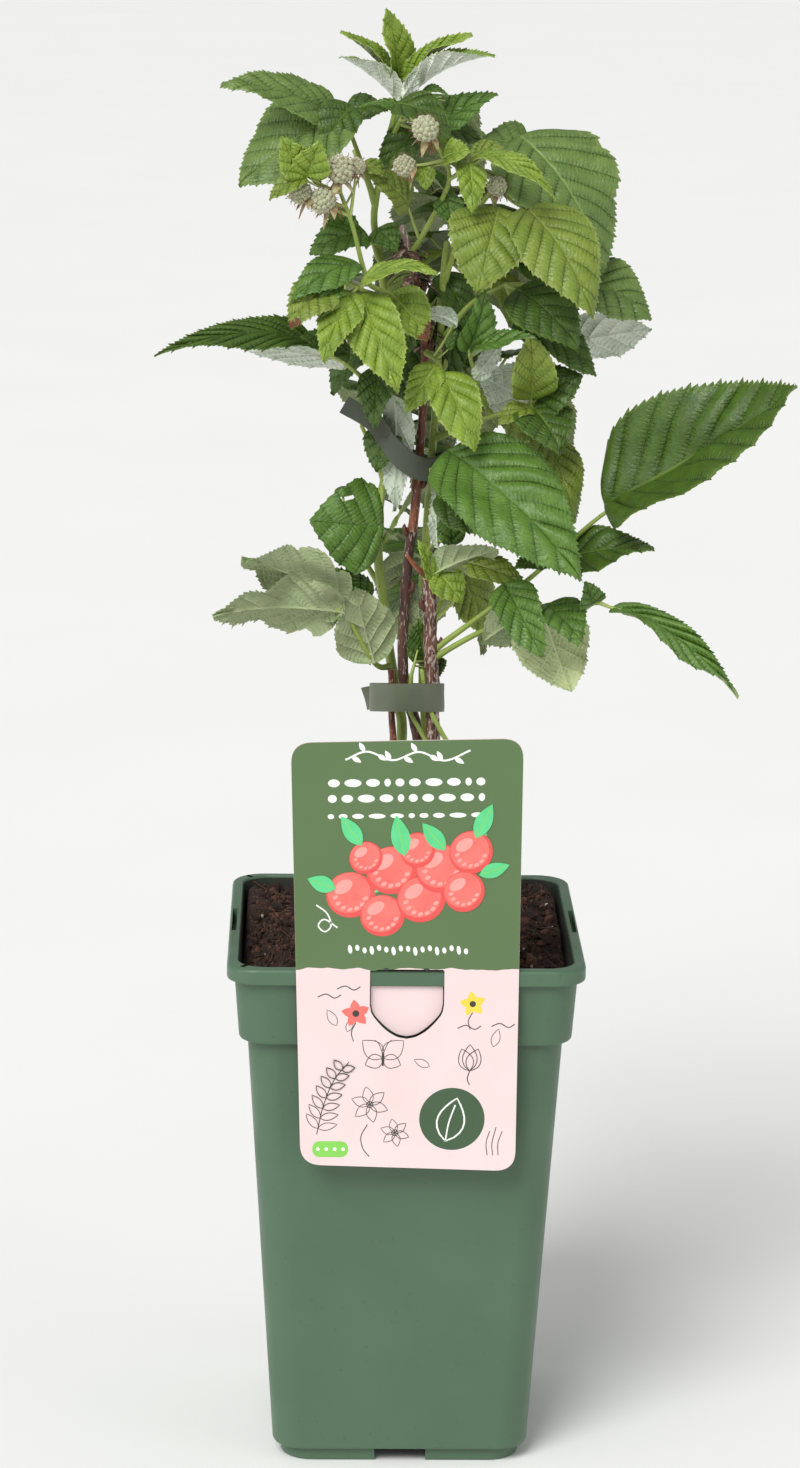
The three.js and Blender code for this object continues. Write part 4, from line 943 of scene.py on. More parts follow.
@dataclass(frozen=True)
class PottingMix:
    """Moist mix that fills the pot, with crumbs, bark chips, grit and coir fibres on top."""

    pot: SquarePot
    level: float = 247
    edge_drop: float = 4
    back_rise: float = 10
    top: float = 258
    clear: float = 0.3
    rings: int = 46
    crumbs: int = 2800
    fibres: int = 420

    LUMPS = ((3, 38, 1.9), (4, 15, 1.9), (5, 6.5, 1.4))  # seed, size and height of each wave
    KINDS = (PEAT_MIX, BARK_CRUMB, COIR_FIBRE, GRIT)
    KIND_SHARES = (0.7, 0.26, 0.02, 0.02)
    FIBRE, GRAIN = 2, 3
    GRAIN_SIZE = 1.2

    def height(self, points: Array) -> Array:
        """The height of the rough top at each place, without its drop at the edge.

        Args:
            points: One in each row, X and Y first.

        Returns:
            The heights.
        """
        flat = np.column_stack([points[:, :2], np.zeros(len(points))])
        lumps = sum(high * Ripple(seed, size).at(flat) for seed, size, high in self.LUMPS)
        slope = self.back_rise * (1 + points[:, 1] / self.pot.mouth_half) / 2
        return np.minimum(self.level + np.clip(lumps, -4, 4.5) + slope, self.top)

    def build(self) -> list[Piece]:
        """Makes the mix's body and the loose pieces on it.

        Returns:
            The pieces.
        """
        corner = self.pot.corner - self.pot.wall
        profile = self.pot.hollow(self.clear, self.level - self.edge_drop)
        rings = [square_ring(half, corner, z, 8, 36) for half, z in profile]
        edge = profile[-1][0]
        for share in np.linspace(1, 0.02, self.rings)[1:]:
            ring = square_ring(edge * share, corner * share, 0, 8, 36)
            sunk = self.edge_drop * max(0, (share - 0.94) / 0.06)
            ring[:, 2] = self.height(ring) - sunk
            rings.append(ring)
        skin = Skin()
        skin.loft(rings)
        body = skin.build("potting_mix_body", [PEAT_MIX], "potting_mix", ["soil"], 180)
        return [body, self.loose(edge)]

    def loose(self, edge: float) -> Piece:
        """Crumbs, chips, grit and fibres scattered over the top.

        Args:
            edge: Half the width that they keep to.

        Returns:
            The piece.
        """
        draw = np.random.default_rng(11)
        skin = Skin()
        ball, sides = ball_mesh()
        for _ in range(self.crumbs):
            spot = draw.uniform(-edge + 4, edge - 4, 2)
            size = float(np.clip(draw.lognormal(0.25, 0.62), 0.5, 5.5))
            kind = int(draw.choice(len(self.KINDS), p=self.KIND_SHARES))
            size = min(size, self.GRAIN_SIZE) if kind == self.GRAIN else size
            shape = ball * draw.uniform(0.75, 1.2, (len(ball), 1)) * draw.uniform(0.5, 1.1, 3) * size
            turned = shape @ turn_matrix(draw.uniform(0, np.pi, 3)).T
            base = self.height(np.array([[*spot, 0]]))[0] + 0.25 * size
            skin.add(turned + [*spot, min(base, self.top - size)], sides, kind)
        for _ in range(self.fibres):
            start = draw.uniform(-edge + 12, edge - 12, 2)
            heading, steps = draw.uniform(0, 2 * np.pi), np.linspace(0, draw.uniform(5, 17), 7)
            bend = heading + steps * draw.uniform(-0.12, 0.12)
            flat = [start[0] + steps * np.cos(bend), start[1] + steps * np.sin(bend), steps * 0]
            path = np.clip(np.stack(flat, 1), -edge + 2, edge - 2)
            arch = draw.uniform(0.3, 2.4) * np.sin(np.linspace(0, np.pi, 7))
            path[:, 2] = self.height(path) + 0.5 + arch
            skin.tube(path, np.full(7, draw.uniform(0.12, 0.26)), 4, self.FIBRE)
        return skin.build("potting_mix_crumbs", self.KINDS, "potting_mix", sharp=35)


def ball_mesh() -> tuple[Array, Array]:
    """A small round solid: an octahedron with every face cut in four.

    Returns:
        Its points, at a radius of about 1, and its faces.
    """
    points = [(1, 0, 0), (-1, 0, 0), (0, 1, 0), (0, -1, 0), (0, 0, 1), (0, 0, -1)]
    faces = [(0, 2, 4), (2, 1, 4), (1, 3, 4), (3, 0, 4)]
    faces += [(b, a, 5) for a, b, _ in faces]
    points = [np.array(p, float) for p in points]
    known: dict[tuple[int, int], int] = {}

    def middle(a: int, b: int) -> int:
        """The number of the point half way along an edge."""
        key = (min(a, b), max(a, b))
        if key not in known:
            known[key] = len(points)
            points.append(unit(points[a] + points[b]))
        return known[key]

    cut = []
    for a, b, c in faces:
        ab, bc, ca = middle(a, b), middle(b, c), middle(c, a)
        cut += [(a, ab, ca), (ab, b, bc), (ca, bc, c), (ab, bc, ca)]
    return np.array(points), np.array(cut)


def turn_matrix(angles: Array) -> Array:
    """The rotation by three angles, in radians."""
    x, y, z = (float(a) for a in angles)
    return np.array(Matrix.Rotation(z, 3, "Z") @ Matrix.Rotation(y, 3, "Y") @ Matrix.Rotation(x, 3, "X"))


# The finishes of the card's front print in order, and their numbers.
CARD_INKS = (
    CARD_GREEN, INK_WHITE, INK_CORAL, INK_ROSE, INK_MINT, INK_DARK, INK_FOREST, INK_LIME, INK_YELLOW,
    INK_RED,
)
FIELD, WHITE, CORAL, ROSE, MINT, LINE, FOREST, LIME, YELLOW, RED = range(len(CARD_INKS))


@dataclass
class Print:
    """Thin closed shapes laid on a flat card, each level a little prouder than the last."""

    front: float
    step: float = 0.015
    sunk: float = 0.02
    way: int = -1
    skin: Skin = field(default_factory=Skin)

    def solid(
        self, flat: Array, triangles: Array, outlines: Sequence[Array], level: int, finish: int
    ) -> None:
        """Gives flat triangles their thickness.

        Args:
            flat: The points in X and Z.
            triangles: The front's triangles.
            outlines: The point numbers around each edge.
            level: How many steps proud it lies.
            finish: The number of its finish.
        """
        front = self.front + self.way * self.step * (level + 1)
        back = self.front - self.way * self.sunk
        count = len(flat)
        both = [np.column_stack([flat[:, 0], np.full(count, y), flat[:, 1]]) for y in (front, back)]
        faces = [triangles, triangles[:, ::-1] + count]
        for ring in outlines:
            after = np.roll(ring, -1)
            faces.append(np.stack([ring, ring + count, after + count], 1))
            faces.append(np.stack([ring, after + count, after], 1))
        self.skin.add(np.concatenate(both), np.concatenate(faces), finish)

    def area(self, outlines: Sequence[Array], level: int, finish: int) -> None:
        """Lays a filled shape, whose first outline is outside and whose others are holes.

        Args:
            outlines: Each n by 2, in X and Z.
            level: How many films it lies over.
            finish: The number of its ink.
        """
        wound = [turned_round(np.asarray(o, float), k == 0) for k, o in enumerate(outlines)]
        flat = np.concatenate(wound)
        starts = np.cumsum([0] + [len(o) for o in wound])
        cut = tessellate_polygon([[Vector((x, z, 0)) for x, z in o] for o in wound])
        triangles = np.array(cut)
        a, b, c = (flat[triangles[:, k]] for k in range(3))
        right, left = b - a, c - a
        area = right[:, 0] * left[:, 1] - right[:, 1] * left[:, 0]
        triangles[area < 0] = triangles[area < 0][:, ::-1]
        triangles = triangles[np.abs(area) > 1e-9]
        rings = [np.arange(s, e) for s, e in zip(starts, starts[1:])]
        self.solid(flat, triangles, rings, level, finish)

    def line(
        self, points: Array, wide: float, level: int = 1, finish: int = LINE, closed: bool = False
    ) -> None:
        """Lays a line of even width along points in X and Z.

        Args:
            points: n by 2.
            wide: Its width.
            level: How many films it lies over.
            finish: The number of its ink.
            closed: Whether it meets itself.
        """
        points = np.asarray(points, float)
        travel = unit(travel_of(points, closed))
        out = np.stack([-travel[:, 1], travel[:, 0]], 1) * wide / 2
        count = len(points)
        near = np.arange(count if closed else count - 1)
        after = (near + 1) % count
        faces = np.hstack([[near, after, after + count], [near, after + count, near + count]]).T
        rings = [np.arange(count), np.arange(2 * count - 1, count - 1, -1)]
        rings = rings if closed else [np.concatenate(rings)]
        flat = np.concatenate([points - out, points + out])
        self.solid(flat, faces, rings, level, finish)


def turned_round(outline: Array, anticlockwise: bool) -> Array:
    """The outline in the order asked for.

    Args:
        outline: The points, n by 2.
        anticlockwise: The order asked for.

    Returns:
        The points.
    """
    x, z = outline[:, 0], outline[:, 1]
    area = (x * np.roll(z, -1) - np.roll(x, -1) * z).sum()
    return outline if (area > 0) == anticlockwise else outline[::-1]


def oval(middle: Pair, wide: float, high: float, tilt: float = 0, count: int = 20) -> Array:
    """An oval's outline.

    Args:
        middle: Its middle.
        wide: Its half width.
        high: Its half height.
        tilt: How far it is turned, in degrees.
        count: How many points it has.

    Returns:
        The outline, n by 2.
    """
    turn = round_turn(count)
    flat = np.stack([wide * np.cos(turn), high * np.sin(turn)], 1)
    return turned_flat(flat, tilt) + middle


def turned_flat(flat: Array, tilt: float) -> Array:
    """Points in a plane turned anticlockwise by degrees."""
    c, s = math.cos(math.radians(tilt)), math.sin(math.radians(tilt))
    return flat @ np.array([[c, s], [-s, c]])


def leaflet(foot: Pair, long: float, wide: float, tilt: float, count: int = 9) -> Array:
    """A pointed leaf's outline from its foot, turned anticlockwise from upright by degrees.

    Args:
        foot: Where it starts.
        long: Its length.
        wide: Its width.
        tilt: Its turn.
        count: How many points each side has.

    Returns:
        The points, n by 2.
    """
    share = np.linspace(0, 1, count)
    half = wide / 2 * np.sin(np.pi * share**0.85) ** 0.9
    right = np.stack([half, share * long], 1)
    left = np.stack([-half[-2:0:-1], share[-2:0:-1] * long], 1)
    return turned_flat(np.concatenate([right, left]), tilt) + foot


def curve(points: Sequence[Sequence[float]], step: float = 1.0) -> Array:
    """A smooth flat curve through points."""
    return smooth_path(np.column_stack([np.asarray(points, float), np.zeros(len(points))]), step)[:, :2]


@dataclass(frozen=True)
class CardLabel:
    """The printed card that hooks over the rim by a tongue cut out of it."""

    pot: SquarePot
    thick: float = 0.6
    clear: float = 0.3
    top: float = 370.4
    foot: float = 161.4
    top_half: float = 54
    foot_half: float = 51
    lean: float = 1.4
    corner: float = 10
    tongue_half: float = 17
    tongue_tip: float = 226
    tongue_back: float = 82.3

    @property
    def back(self) -> float:
        """How far forward the card's back stands."""
        return self.pot.rim_half + self.clear

    @property
    def rest(self) -> float:
        """The height of the bridge's underside, just over the rim."""
        return self.pot.height + self.clear

    def corners(self) -> Array:
        """The card's corners before rounding, from the lower left, anticlockwise.

        Returns:
            The corners, n by 2, in X and Z.
        """
        lean = self.lean
        return np.array(
            [
                (-self.foot_half + lean, self.foot + lean),
                (self.foot_half + lean, self.foot - lean),
                (self.top_half - lean, self.top + lean),
                (-self.top_half - lean, self.top - lean),
            ]
        )

    def outline(self, inset: float = 0.0) -> Array:
        """The card's rounded outline, drawn in by an inset.

        Args:
            inset: How far in, in millimetres.

        Returns:
            The points, n by 2.
        """
        corners = self.corners()
        middle = corners.mean(0)
        corners = middle + (corners - middle) * (1 - inset / 50)
        points = []
        for k in range(4):
            here, before, after = corners[k], corners[k - 1], corners[(k + 1) % 4]
            enter = here + unit(before - here) * self.corner
            leave = here + unit(after - here) * self.corner
            for share in np.linspace(0, 1, 10):
                first = enter + (here - enter) * share
                points.append(first + ((here + (leave - here) * share) - first) * share)
        return np.array(points)

    def tongue(self, extra: float, top: float) -> Array:
        """The tongue's outline, grown by extra, with its upper edge at a height.

        Args:
            extra: How far it grows.
            top: The height.

        Returns:
            The points, n by 2.
        """
        shoulder = self.tongue_tip + (self.pot.collar_top - self.tongue_tip) * 0.65
        wide, tip = self.tongue_half + extra, self.tongue_tip - extra
        right = curve(
            [
                (wide, shoulder), (wide * 0.92, shoulder - 5), (wide * 0.6, tip + 5),
                (wide * 0.28, tip + 1.2), (0, tip),
            ]
        )
        left = right[-2::-1] * [-1, 1]
        return np.concatenate([[(wide, top)], right, left, [(-wide, top)]])[::-1]

    def sheet(self, outlines: Sequence[Array], back: float) -> Skin:
        """A flat sheet of the card's thickness with its back at y = -back.

        Args:
            outlines: As in Print.area.
            back: Where its back stands.

        Returns:
            The sheet's skin.
        """
        flat = Print(front=-back, step=self.thick, sunk=0.0)
        flat.area(outlines, 0, 0)
        return flat.skin

    def torn_edge(self) -> Array:
        """The ragged line where the green ink ends, from left to right.

        Returns:
            The points, n by 2.
        """
        x = np.linspace(-60, 60, 97)
        spots = np.column_stack([x, x * 0, x * 0])
        z = self.rest + 0.9 + 0.55 * Ripple(8, 22).at(spots)
        return np.stack([x, z + 0.3 * Ripple(9, 5).at(spots)], 1)

    def build(self) -> list[Piece]:
        """Makes the card, its tongue and everything printed on it.

        Returns:
            The pieces.
        """
        card = self.sheet([self.outline(), self.tongue(0.5, self.rest)], self.back)
        card_piece = card.build("label_card_sheet", [CARD_PINK], "label_card", ["label"], None)
        hook = self.sheet([self.tongue(0, self.rest + self.thick)], self.tongue_back)
        low = (-self.tongue_half, -(self.back + self.thick), self.rest)
        hook.loft(box_rings(low, (self.tongue_half, -self.tongue_back, self.rest + self.thick)))
        tongue_piece = hook.build("label_card_tongue", [CARD_PINK], "label_card", (), None)
        return [card_piece, tongue_piece, self.print_front(), self.print_back()]

    def green_field(self, sheet: Print) -> None:
        """Lays the green that covers the card above the rim.

        Args:
            sheet: The print that it is laid on.
        """
        edge = self.torn_edge()
        outline = self.outline(0.05)
        upper = turned_round(outline, True)
        upper = upper[upper[:, 1] > self.rest + 20]
        start = int(np.argmax(upper[:, 0] - upper[:, 1]))
        upper = np.roll(upper, -start, 0)
        low_left, low_right = self.side_x(edge[0, 1], -1), self.side_x(edge[-1, 1], 1)
        inside = edge[(edge[:, 0] > low_left) & (edge[:, 0] < low_right)]
        ends = [(low_left, inside[0, 1]), *inside, (low_right, inside[-1, 1])]
        sheet.area([np.concatenate([np.array(ends), upper])], 0, FIELD)

    def side_x(self, z: float, side: int) -> float:
        """Where the card's left (-1) or right (1) side stands at a height.

        Args:
            z: The height.
            side: Which side.

        Returns:
            Its X.
        """
        corners = self.corners()
        low, high = (corners[1], corners[2]) if side > 0 else (corners[0], corners[3])
        share = (z - low[1]) / (high[1] - low[1])
        return float(low[0] + (high[0] - low[0]) * share) - side * 0.05

    def print_back(self) -> Piece:
        """The plain green field and a row of dots on the back.

        Returns:
            The piece.
        """
        sheet = Print(front=-self.back, way=1)
        self.green_field(sheet)
        for k in range(9):
            sheet.area([oval((-32 + 8 * k, 225), 1.2, 1.2, count=12)], 0, 1)
        finishes = [CARD_GREEN, INK_DARK]
        return mirrored(sheet.skin).build("label_card_back_print", finishes, "label_card", (), None)

    def print_front(self) -> Piece:
        """The design on the front: a garland and a fruit sprig above, line drawings below.

        Returns:
            The piece.
        """
        sheet = Print(front=-(self.back + self.thick))
        for part in (self.green_field, self.garland, self.sprig, self.drawings):
            part(sheet)
        return sheet.skin.build("label_card_print", CARD_INKS, "label_card", (), None)

    def garland(self, sheet: Print) -> None:
        """White leafy scrolls, and rows of dots and dashes, across the green.

        Args:
            sheet: The print that it is laid on.
        """
        scroll = curve([(-30, 361), (-20, 365), (-8, 361), (4, 365), (16, 361), (28, 366)])
        sheet.line(scroll, 0.9, 1, WHITE)
        for k in range(3, len(scroll) - 3, 6):
            tilt = 30 if k // 6 % 2 else -120
            sheet.area([leaflet(tuple(scroll[k]), 5.2, 2.4, tilt, 7)], 2, WHITE)
        for row, (z, high) in enumerate([(350.5, 1.9), (343.0, 1.9), (334.5, 1.2)]):
            x, k = -38.0, 0
            while x < 36:
                wide = (5.5, 3.0, 8.0, 4.2, 6.4)[(k * 2 + row * 3) % 5]
                dash = oval((x + wide / 2, z + 0.02 * x), wide / 2, high, count=14)
                sheet.area([dash], 1, WHITE)
                x, k = x + wide + 2.1, k + 1
        for k in range(17):
            spot = (-27 + 3.4 * k, 269.5 + 0.8 * math.sin(k * 1.9))
            sheet.area([oval(spot, 1.0, 1.5 if k % 3 else 2.2, 8, 10)], 1, WHITE)
        curl = curve([(-43, 291), (-38, 287), (-36, 281), (-39, 278), (-42, 281), (-39, 284), (-33, 280)])
        sheet.line(curl, 0.7, 1, WHITE)

    def sprig(self, sheet: Print) -> None:
        """Round coral fruits with mint leaves along a stem that climbs to the right.

        Args:
            sheet: The print that it is laid on.
        """
        sheet.line(curve([(-36, 290), (-18, 297), (0, 302), (18, 311), (36, 326)]), 1.3, 1, MINT)
        fruits = [
            (-27, 296, 11.5), (-12, 286, 10.5), (-8, 308, 12), (6, 294, 11.5), (15, 309, 12), (-20, 314, 8),
            (29, 317, 10.5), (26, 298, 10), (4, 318, 8.5),
        ]
        for k, (x, z, radius) in enumerate(fruits):
            rounds = (
                (0, 0, 1, 0.96, 10 * k, 26, RED), (-0.06, 0.08, 0.88, 0.84, 35, 24, CORAL),
                (-0.3, 0.34, 0.42, 0.26, 35, 20, ROSE),
            )
            for level, (right, up, wide, high, tilt, count, ink) in enumerate(rounds, 2 + 3 * k):
                spot = (x + radius * right, z + radius * up)
                sheet.area([oval(spot, radius * wide, radius * high, tilt, count)], level, ink)
            for seed in range(7):
                angle = math.radians(190 + 26 * seed)
                spot = (x + radius * 0.62 * math.cos(angle), z + radius * 0.62 * math.sin(angle))
                sheet.area([oval(spot, radius * 0.12, radius * 0.08, 30, 8)], 4 + 3 * k, ROSE)
        leaves = [
            (-34, 299, 14, 8, 70), (-22, 320, 17, 8, 35), (-2, 315, 20, 9, 12), (17, 318, 17, 8, 40),
            (31, 324, 18, 8, -25), (33, 306, 15, 7, -70),
        ]
        for x, z, long, wide, tilt in leaves:
            sheet.area([leaflet((x, z), long, wide, tilt)], 30, MINT)
            rib = turned_flat(np.array([(0, 1), (0, long * 0.5), (0, long * 0.85)]), tilt) + (x, z)
            sheet.line(rib, 0.4, 31, LIME)

    def drawings(self, sheet: Print) -> None:
        """Thin line drawings and four small coloured shapes on the pink.

        Args:
            sheet: The print that it is laid on.
        """
        # Two dark ovals at the top of the tongue's window: painted shadow of the gaps where the card bends.
        for x in (-10, 9):
            sheet.area([oval((x, self.rest + 0.75), 1.4, 0.6, 0, 12)], 1, LINE)
        stem = curve([(-42, 178), (-39, 192), (-34, 205), (-27, 214)])
        sheet.line(stem, 0.45)
        for k in range(3, len(stem) - 2, 5):
            for side in (-1, 1):
                shape = leaflet(tuple(stem[k]), 9.5 - k * 0.1, 3.6, -20 + side * 58)
                sheet.line(shape, 0.32, 2 + k + (side + 1) // 2, closed=True)
        for x, z, size in ((-17, 193, 9), (-5, 179, 7)):
            for petal in range(6):
                shape = leaflet((x, z), size, size * 0.55, 60 * petal + 12)
                sheet.line(shape, 0.32, 1 + petal, closed=True)
            sheet.line(oval((x, z), 1.5, 1.5, 0, 12), 0.35, 7, closed=True)
        sheet.line(curve([(-18, 183), (-21, 177), (-20, 171), (-17, 167)]), 0.45)
        for x, z, size, ink in ((-24, 238, 4.6, CORAL), (31, 243, 4.2, YELLOW)):
            for petal in range(5):
                sheet.area([leaflet((x, z), size * 1.5, size, 72 * petal + 8, 7)], 1 + petal, ink)
            sheet.area([oval((x, z), size * 0.36, size * 0.36, 0, 12)], 7, LINE)
            sheet.line(curve([(x, z - size), (x - 2, z - size * 2), (x - 1, z - size * 3)]), 0.45)
        for x, z in ((-42, 246), (-33, 250), (40, 232), (24, 231)):
            sheet.line(curve([(x, z), (x + 4, z + 1.5), (x + 8, z - 0.5), (x + 11, z + 1.2)]), 0.5)
        for side in (-1, 1):
            for long, wide, tilt in ((13, 9, 48), (9, 7, 112)):
                wing = leaflet((-11, 216), long, wide, side * tilt)
                sheet.line(wing, 0.36, 1 + (side > 0) + 2 * (tilt > 90), closed=True)
            sheet.line(curve([(-11, 218), (-11 + side * 2, 223), (-11 + side * 4, 225)], 0.5), 0.3, 5)
        sheet.area([oval((-11, 215.5), 0.7, 3.6, 0, 10)], 6, LINE)
        for side in (-1, 0, 1):
            petal = leaflet((30, 210), 13 - abs(side) * 1.5, 7, -side * 20)
            sheet.line(petal, 0.36, 7 + side, closed=True)
        sheet.line(curve([(30, 210), (29, 206), (30, 203)], 0.5), 0.5)
        blown = ((-33, 232, 9, 30), (-28, 229, 7, -20), (11, 212, 8, 65), (41, 222, 9, -15))
        for x, z, long, tilt in blown:
            sheet.line(leaflet((x, z), long, long * 0.45, tilt), 0.32, closed=True)
        for k in range(3):
            grass = curve([(39 + 2.6 * k, 168), (38.4 + 2.8 * k, 174), (40 + 3 * k, 180 + 2 * (k % 2))])
            sheet.line(grass, 0.4)
        sheet.area([oval((22, 186), 15.5, 15.5, 0, 48)], 1, FOREST)
        sheet.line(leaflet((19, 175), 22, 13, -14), 0.8, 2, WHITE, closed=True)
        sheet.line(curve([(19, 175), (20.5, 184), (23.5, 193)]), 0.7, 2, WHITE)
        sheet.area([rounded_block((-44, 166.6), 17, 8, 3.5)], 1, LIME)
        for k in range(4):
            sheet.area([oval((-41.4 + 4 * k, 170.6), 0.9, 0.9, 0, 10)], 2, WHITE)


def rounded_block(low: Pair, wide: float, high: float, corner: float) -> Array:
    """A rounded rectangle's outline from its lower left corner.

    Args:
        low: The corner.
        wide: Its width.
        high: Its height.
        corner: Its corners' radius.

    Returns:
        The points, n by 2.
    """
    middle = (low[0] + wide / 2, low[1] + high / 2)
    turn = np.linspace(0, np.pi / 2, 6)
    bend = corner * np.stack([np.cos(turn), np.sin(turn)], 1)
    inner = np.array([wide / 2 - corner, high / 2 - corner])
    quarters = []
    for k, sign in enumerate([(1, 1), (-1, 1), (-1, -1), (1, -1)]):
        part = (bend + inner) * sign
        quarters.append(part if k % 2 == 0 else part[::-1])
    return np.concatenate(quarters) + middle


def mirrored(skin: Skin) -> Skin:
    """The skin with every face turned the other way."""
    skin.faces = [faces[:, ::-1] for faces in skin.faces]
    return skin


# ---------- ties and canes


@dataclass(frozen=True)
class Tie:
    """Soft tape wound twice round the canes, as a sloping oval loop with an optional free end."""

    name: str
    middle: Point
    wide: float
    slope: float
    seed: int
    tail: tuple[Point, ...] = ()
    half_wide: float = 17.0
    half_deep: float = 13.0
    back_drop: float = 0.0
    sag: float = 0.0
    thick: float = 0.7
    tape: Finish = TYING_TAPE

    def band(self, path: Array, wide: float, closed: bool) -> list[Array]:
        """The cross-sections of a band held upright along a path, curled and creased.

        Args:
            path: The middle of the band, n by 3.
            wide: Its width.
            closed: Whether the path meets itself.

        Returns:
            One ring for each point.
        """
        travel = unit(travel_of(path, closed))
        rise = unit(UP - travel * travel[:, 2:])
        out = np.cross(travel, rise)
        across = np.linspace(-1, 1, 9)
        ring = []
        for side, order in ((1, across), (-1, across[::-1])):
            for u in order:
                spot = path + rise * (u * wide / 2)
                crease = 0.1 * Ripple(self.seed, 16).at(spot * [1, 1, 1.6]) - 0.35 * u * u
                ring.append(spot + out * (crease + side * self.thick / 2)[:, None])
        return list(np.stack(ring, 1))

    def loop(self, grown: float, lift: float, tilt: float) -> Array:
        """The points round one turn of the tape.

        Args:
            grown: How far outside the first turn.
            lift: How far above it.
            tilt: What its slope gains.

        Returns:
            The points, n by 3.
        """
        turn = round_turn(72)
        across = (self.half_wide + grown) * np.cos(turn)
        deep = (self.half_deep + grown) * np.sin(turn)
        x, y, z = self.middle
        rise = lift + (self.slope + tilt) * across - self.back_drop * (1 + np.sin(turn)) / 2
        rise += self.sag * np.cos(turn) ** 2
        return np.stack([x + across, y + deep, z + rise], 1)

    def build(self) -> Piece:
        """Makes the tie's turns and its free end.

        Returns:
            The tie.
        """
        skin = Skin()
        for grown, lift, tilt, share in ((-0.5, 0.02, 0.02, 0.9), (0.5, 0, 0, 0.98)):
            rings = self.band(self.loop(grown, lift * self.wide, tilt), self.wide * share, True)
            skin.loft([*rings, rings[0]], 0, (None, None))
        if self.tail:
            path = smooth_path(self.tail, 1.5)
            skin.loft(self.band(path, self.wide * 0.8, False))
        return skin.build(self.name + "_tape", [self.tape], "tie_tape", [self.name], 60)


TIES = (
    Tie(
        "tie_lower", (0.2, -0.5, 374), 14, 0.0, 31, ((-13, 6, 370), (-17.5, 7, 369), (-20, 8.5, 368)),
        half_wide=17.4, half_deep=13.5, back_drop=6,
    ),
    # The upper tie wears the darker tape copy as painted shade.
    Tie(
        "tie_upper", (1, 1, 487), 11, -0.55, 32,
        ((-12, -11.5, 500), (-18.5, -12.5, 508), (-31.5, -12, 515.5)),
        half_deep=15, back_drop=3, sag=9.5, tape=SHADED_TAPE,
    ),
)


class Rind(Enum):
    """What covers a cane: its finish, its relief in millimetres, the relief's size and its slot."""

    BARK = (CANE_BARK, 0.16, 3.2, "bark")
    OLD = (OLD_BARK, 0.4, 3.6, "bark")
    GREEN = (GREEN_CANE, 0.06, 5.0, "green_stem")


@dataclass(frozen=True)
class Cane:
    """One tapering cane, from the mix up, with nodes, buds and a cut or growing tip."""

    name: str
    rind: Rind
    radii: Pair
    path: tuple[Point, ...]
    buds: tuple[Pair, ...] = ()
    husks: tuple[float, float, int] = (0, 0, 0)
    greyed_below: float = 0.0
    bleached_above: float = 1000.0
    cut: bool = False
    seed: int = 1
    sides: int = 20
    wobble: float = 0.5

    SKIN, INSIDE, BUD, FOOT, HUSK, TOP = range(6)  # the numbers of its finishes

    def middle(self, height: float) -> Array:
        """The cane's middle at a height."""
        points = np.array(self.path, float)
        return np.array([np.interp(height, points[:, 2], points[:, axis]) for axis in range(3)])

    def build(self) -> Piece:
        """Makes the cane with its relief, nodes and buds.

        Returns:
            The cane.
        """
        finish, relief, size, slot = self.rind.value
        path = smooth_path(self.path, 1.6)
        sway = [Ripple(self.seed + step, 46).at(path * [0, 0, 1]) for step in (40, 50)]
        path[:, :2] += self.wobble * np.stack(sway, 1)
        start, end = self.radii
        radius = np.linspace(start, end, len(path))
        for height, _ in self.buds:
            radius += 0.35 * np.exp(-(((path[:, 2] - height) / 3.5) ** 2))
        plain = np.stack(tube_rings(path, radius, self.sides))
        flat = plain.reshape(-1, 3) * [1, 1, 0.22]
        ridges = np.abs(Ripple(self.seed, size).at(flat)).reshape(len(path), self.sides)
        fine = Ripple(self.seed + 7, size / 2.5).at(flat * [1, 1, 3]).reshape(len(path), self.sides)
        rough = radius[:, None] + relief * (ridges - 0.9 + 0.35 * fine)
        skin = Skin()
        rings = tube_rings(path, rough, self.sides)
        if not self.cut:
            tip = unit(path[-1] - path[-2]) * end * 0.6
            rings.append(path[-1] + (rings[-1] - path[-1]) * 0.5 + tip)
        skin.loft(rings, self.SKIN, (self.SKIN, self.INSIDE if self.cut else self.SKIN))
        heights = np.concatenate(skin.points)[skin.faces[0]].mean(1)
        edge = self.greyed_below + 9 * Ripple(self.seed + 90, 14).at(heights)
        skin.marks[0] = np.where(heights[:, 2] < edge, self.FOOT, skin.marks[0])
        skin.marks[0] = np.where(heights[:, 2] > self.bleached_above, self.TOP, skin.marks[0])
        for height, heading in self.buds:
            self.bud(skin, height, heading, float(np.interp(height, path[:, 2], radius)))
        draw = np.random.default_rng(self.seed)
        low, high, number = self.husks
        for height in np.linspace(low, high, number):
            heading = draw.uniform(-180, 180)
            foot = self.middle(height) + aim(heading, 0) * draw.uniform(end - 0.5, end + 2)
            way = aim(heading, draw.uniform(0, 60))
            dried_strip(skin, foot, way, draw.uniform(5, 13), self.HUSK, 0.42)
        inside = CUT_WOOD if self.cut else finish
        finishes = [finish, inside, BUD_SCALE, CANE_FOOT, DRY_HUSK, CANE_TOP]
        return skin.build(self.name + "_stem", finishes, slot, [self.name], 55)

    def bud(self, skin: Skin, height: float, heading: float, radius: float) -> None:
        """Adds a pointed bud that leans out of the cane at a height and heading.

        Args:
            skin: The skin that it goes in.
            height: Where it stands.
            heading: The way it leans.
            radius: The cane's radius there.
        """
        out = aim(heading, 0)
        foot = self.middle(height) + out * (radius - 0.6)
        bends = ((0, -1.2), (1.0, 0), (1.7, 1.6), (1.9, 3.4), (1.7, 4.6))
        path = np.array([foot + out * o + UP * r for o, r in bends])
        kind = self.SKIN if self.rind is Rind.GREEN else self.BUD
        skin.tube(path, (1.1, 1.5, 1.4, 0.9, 0.15), 9, kind)


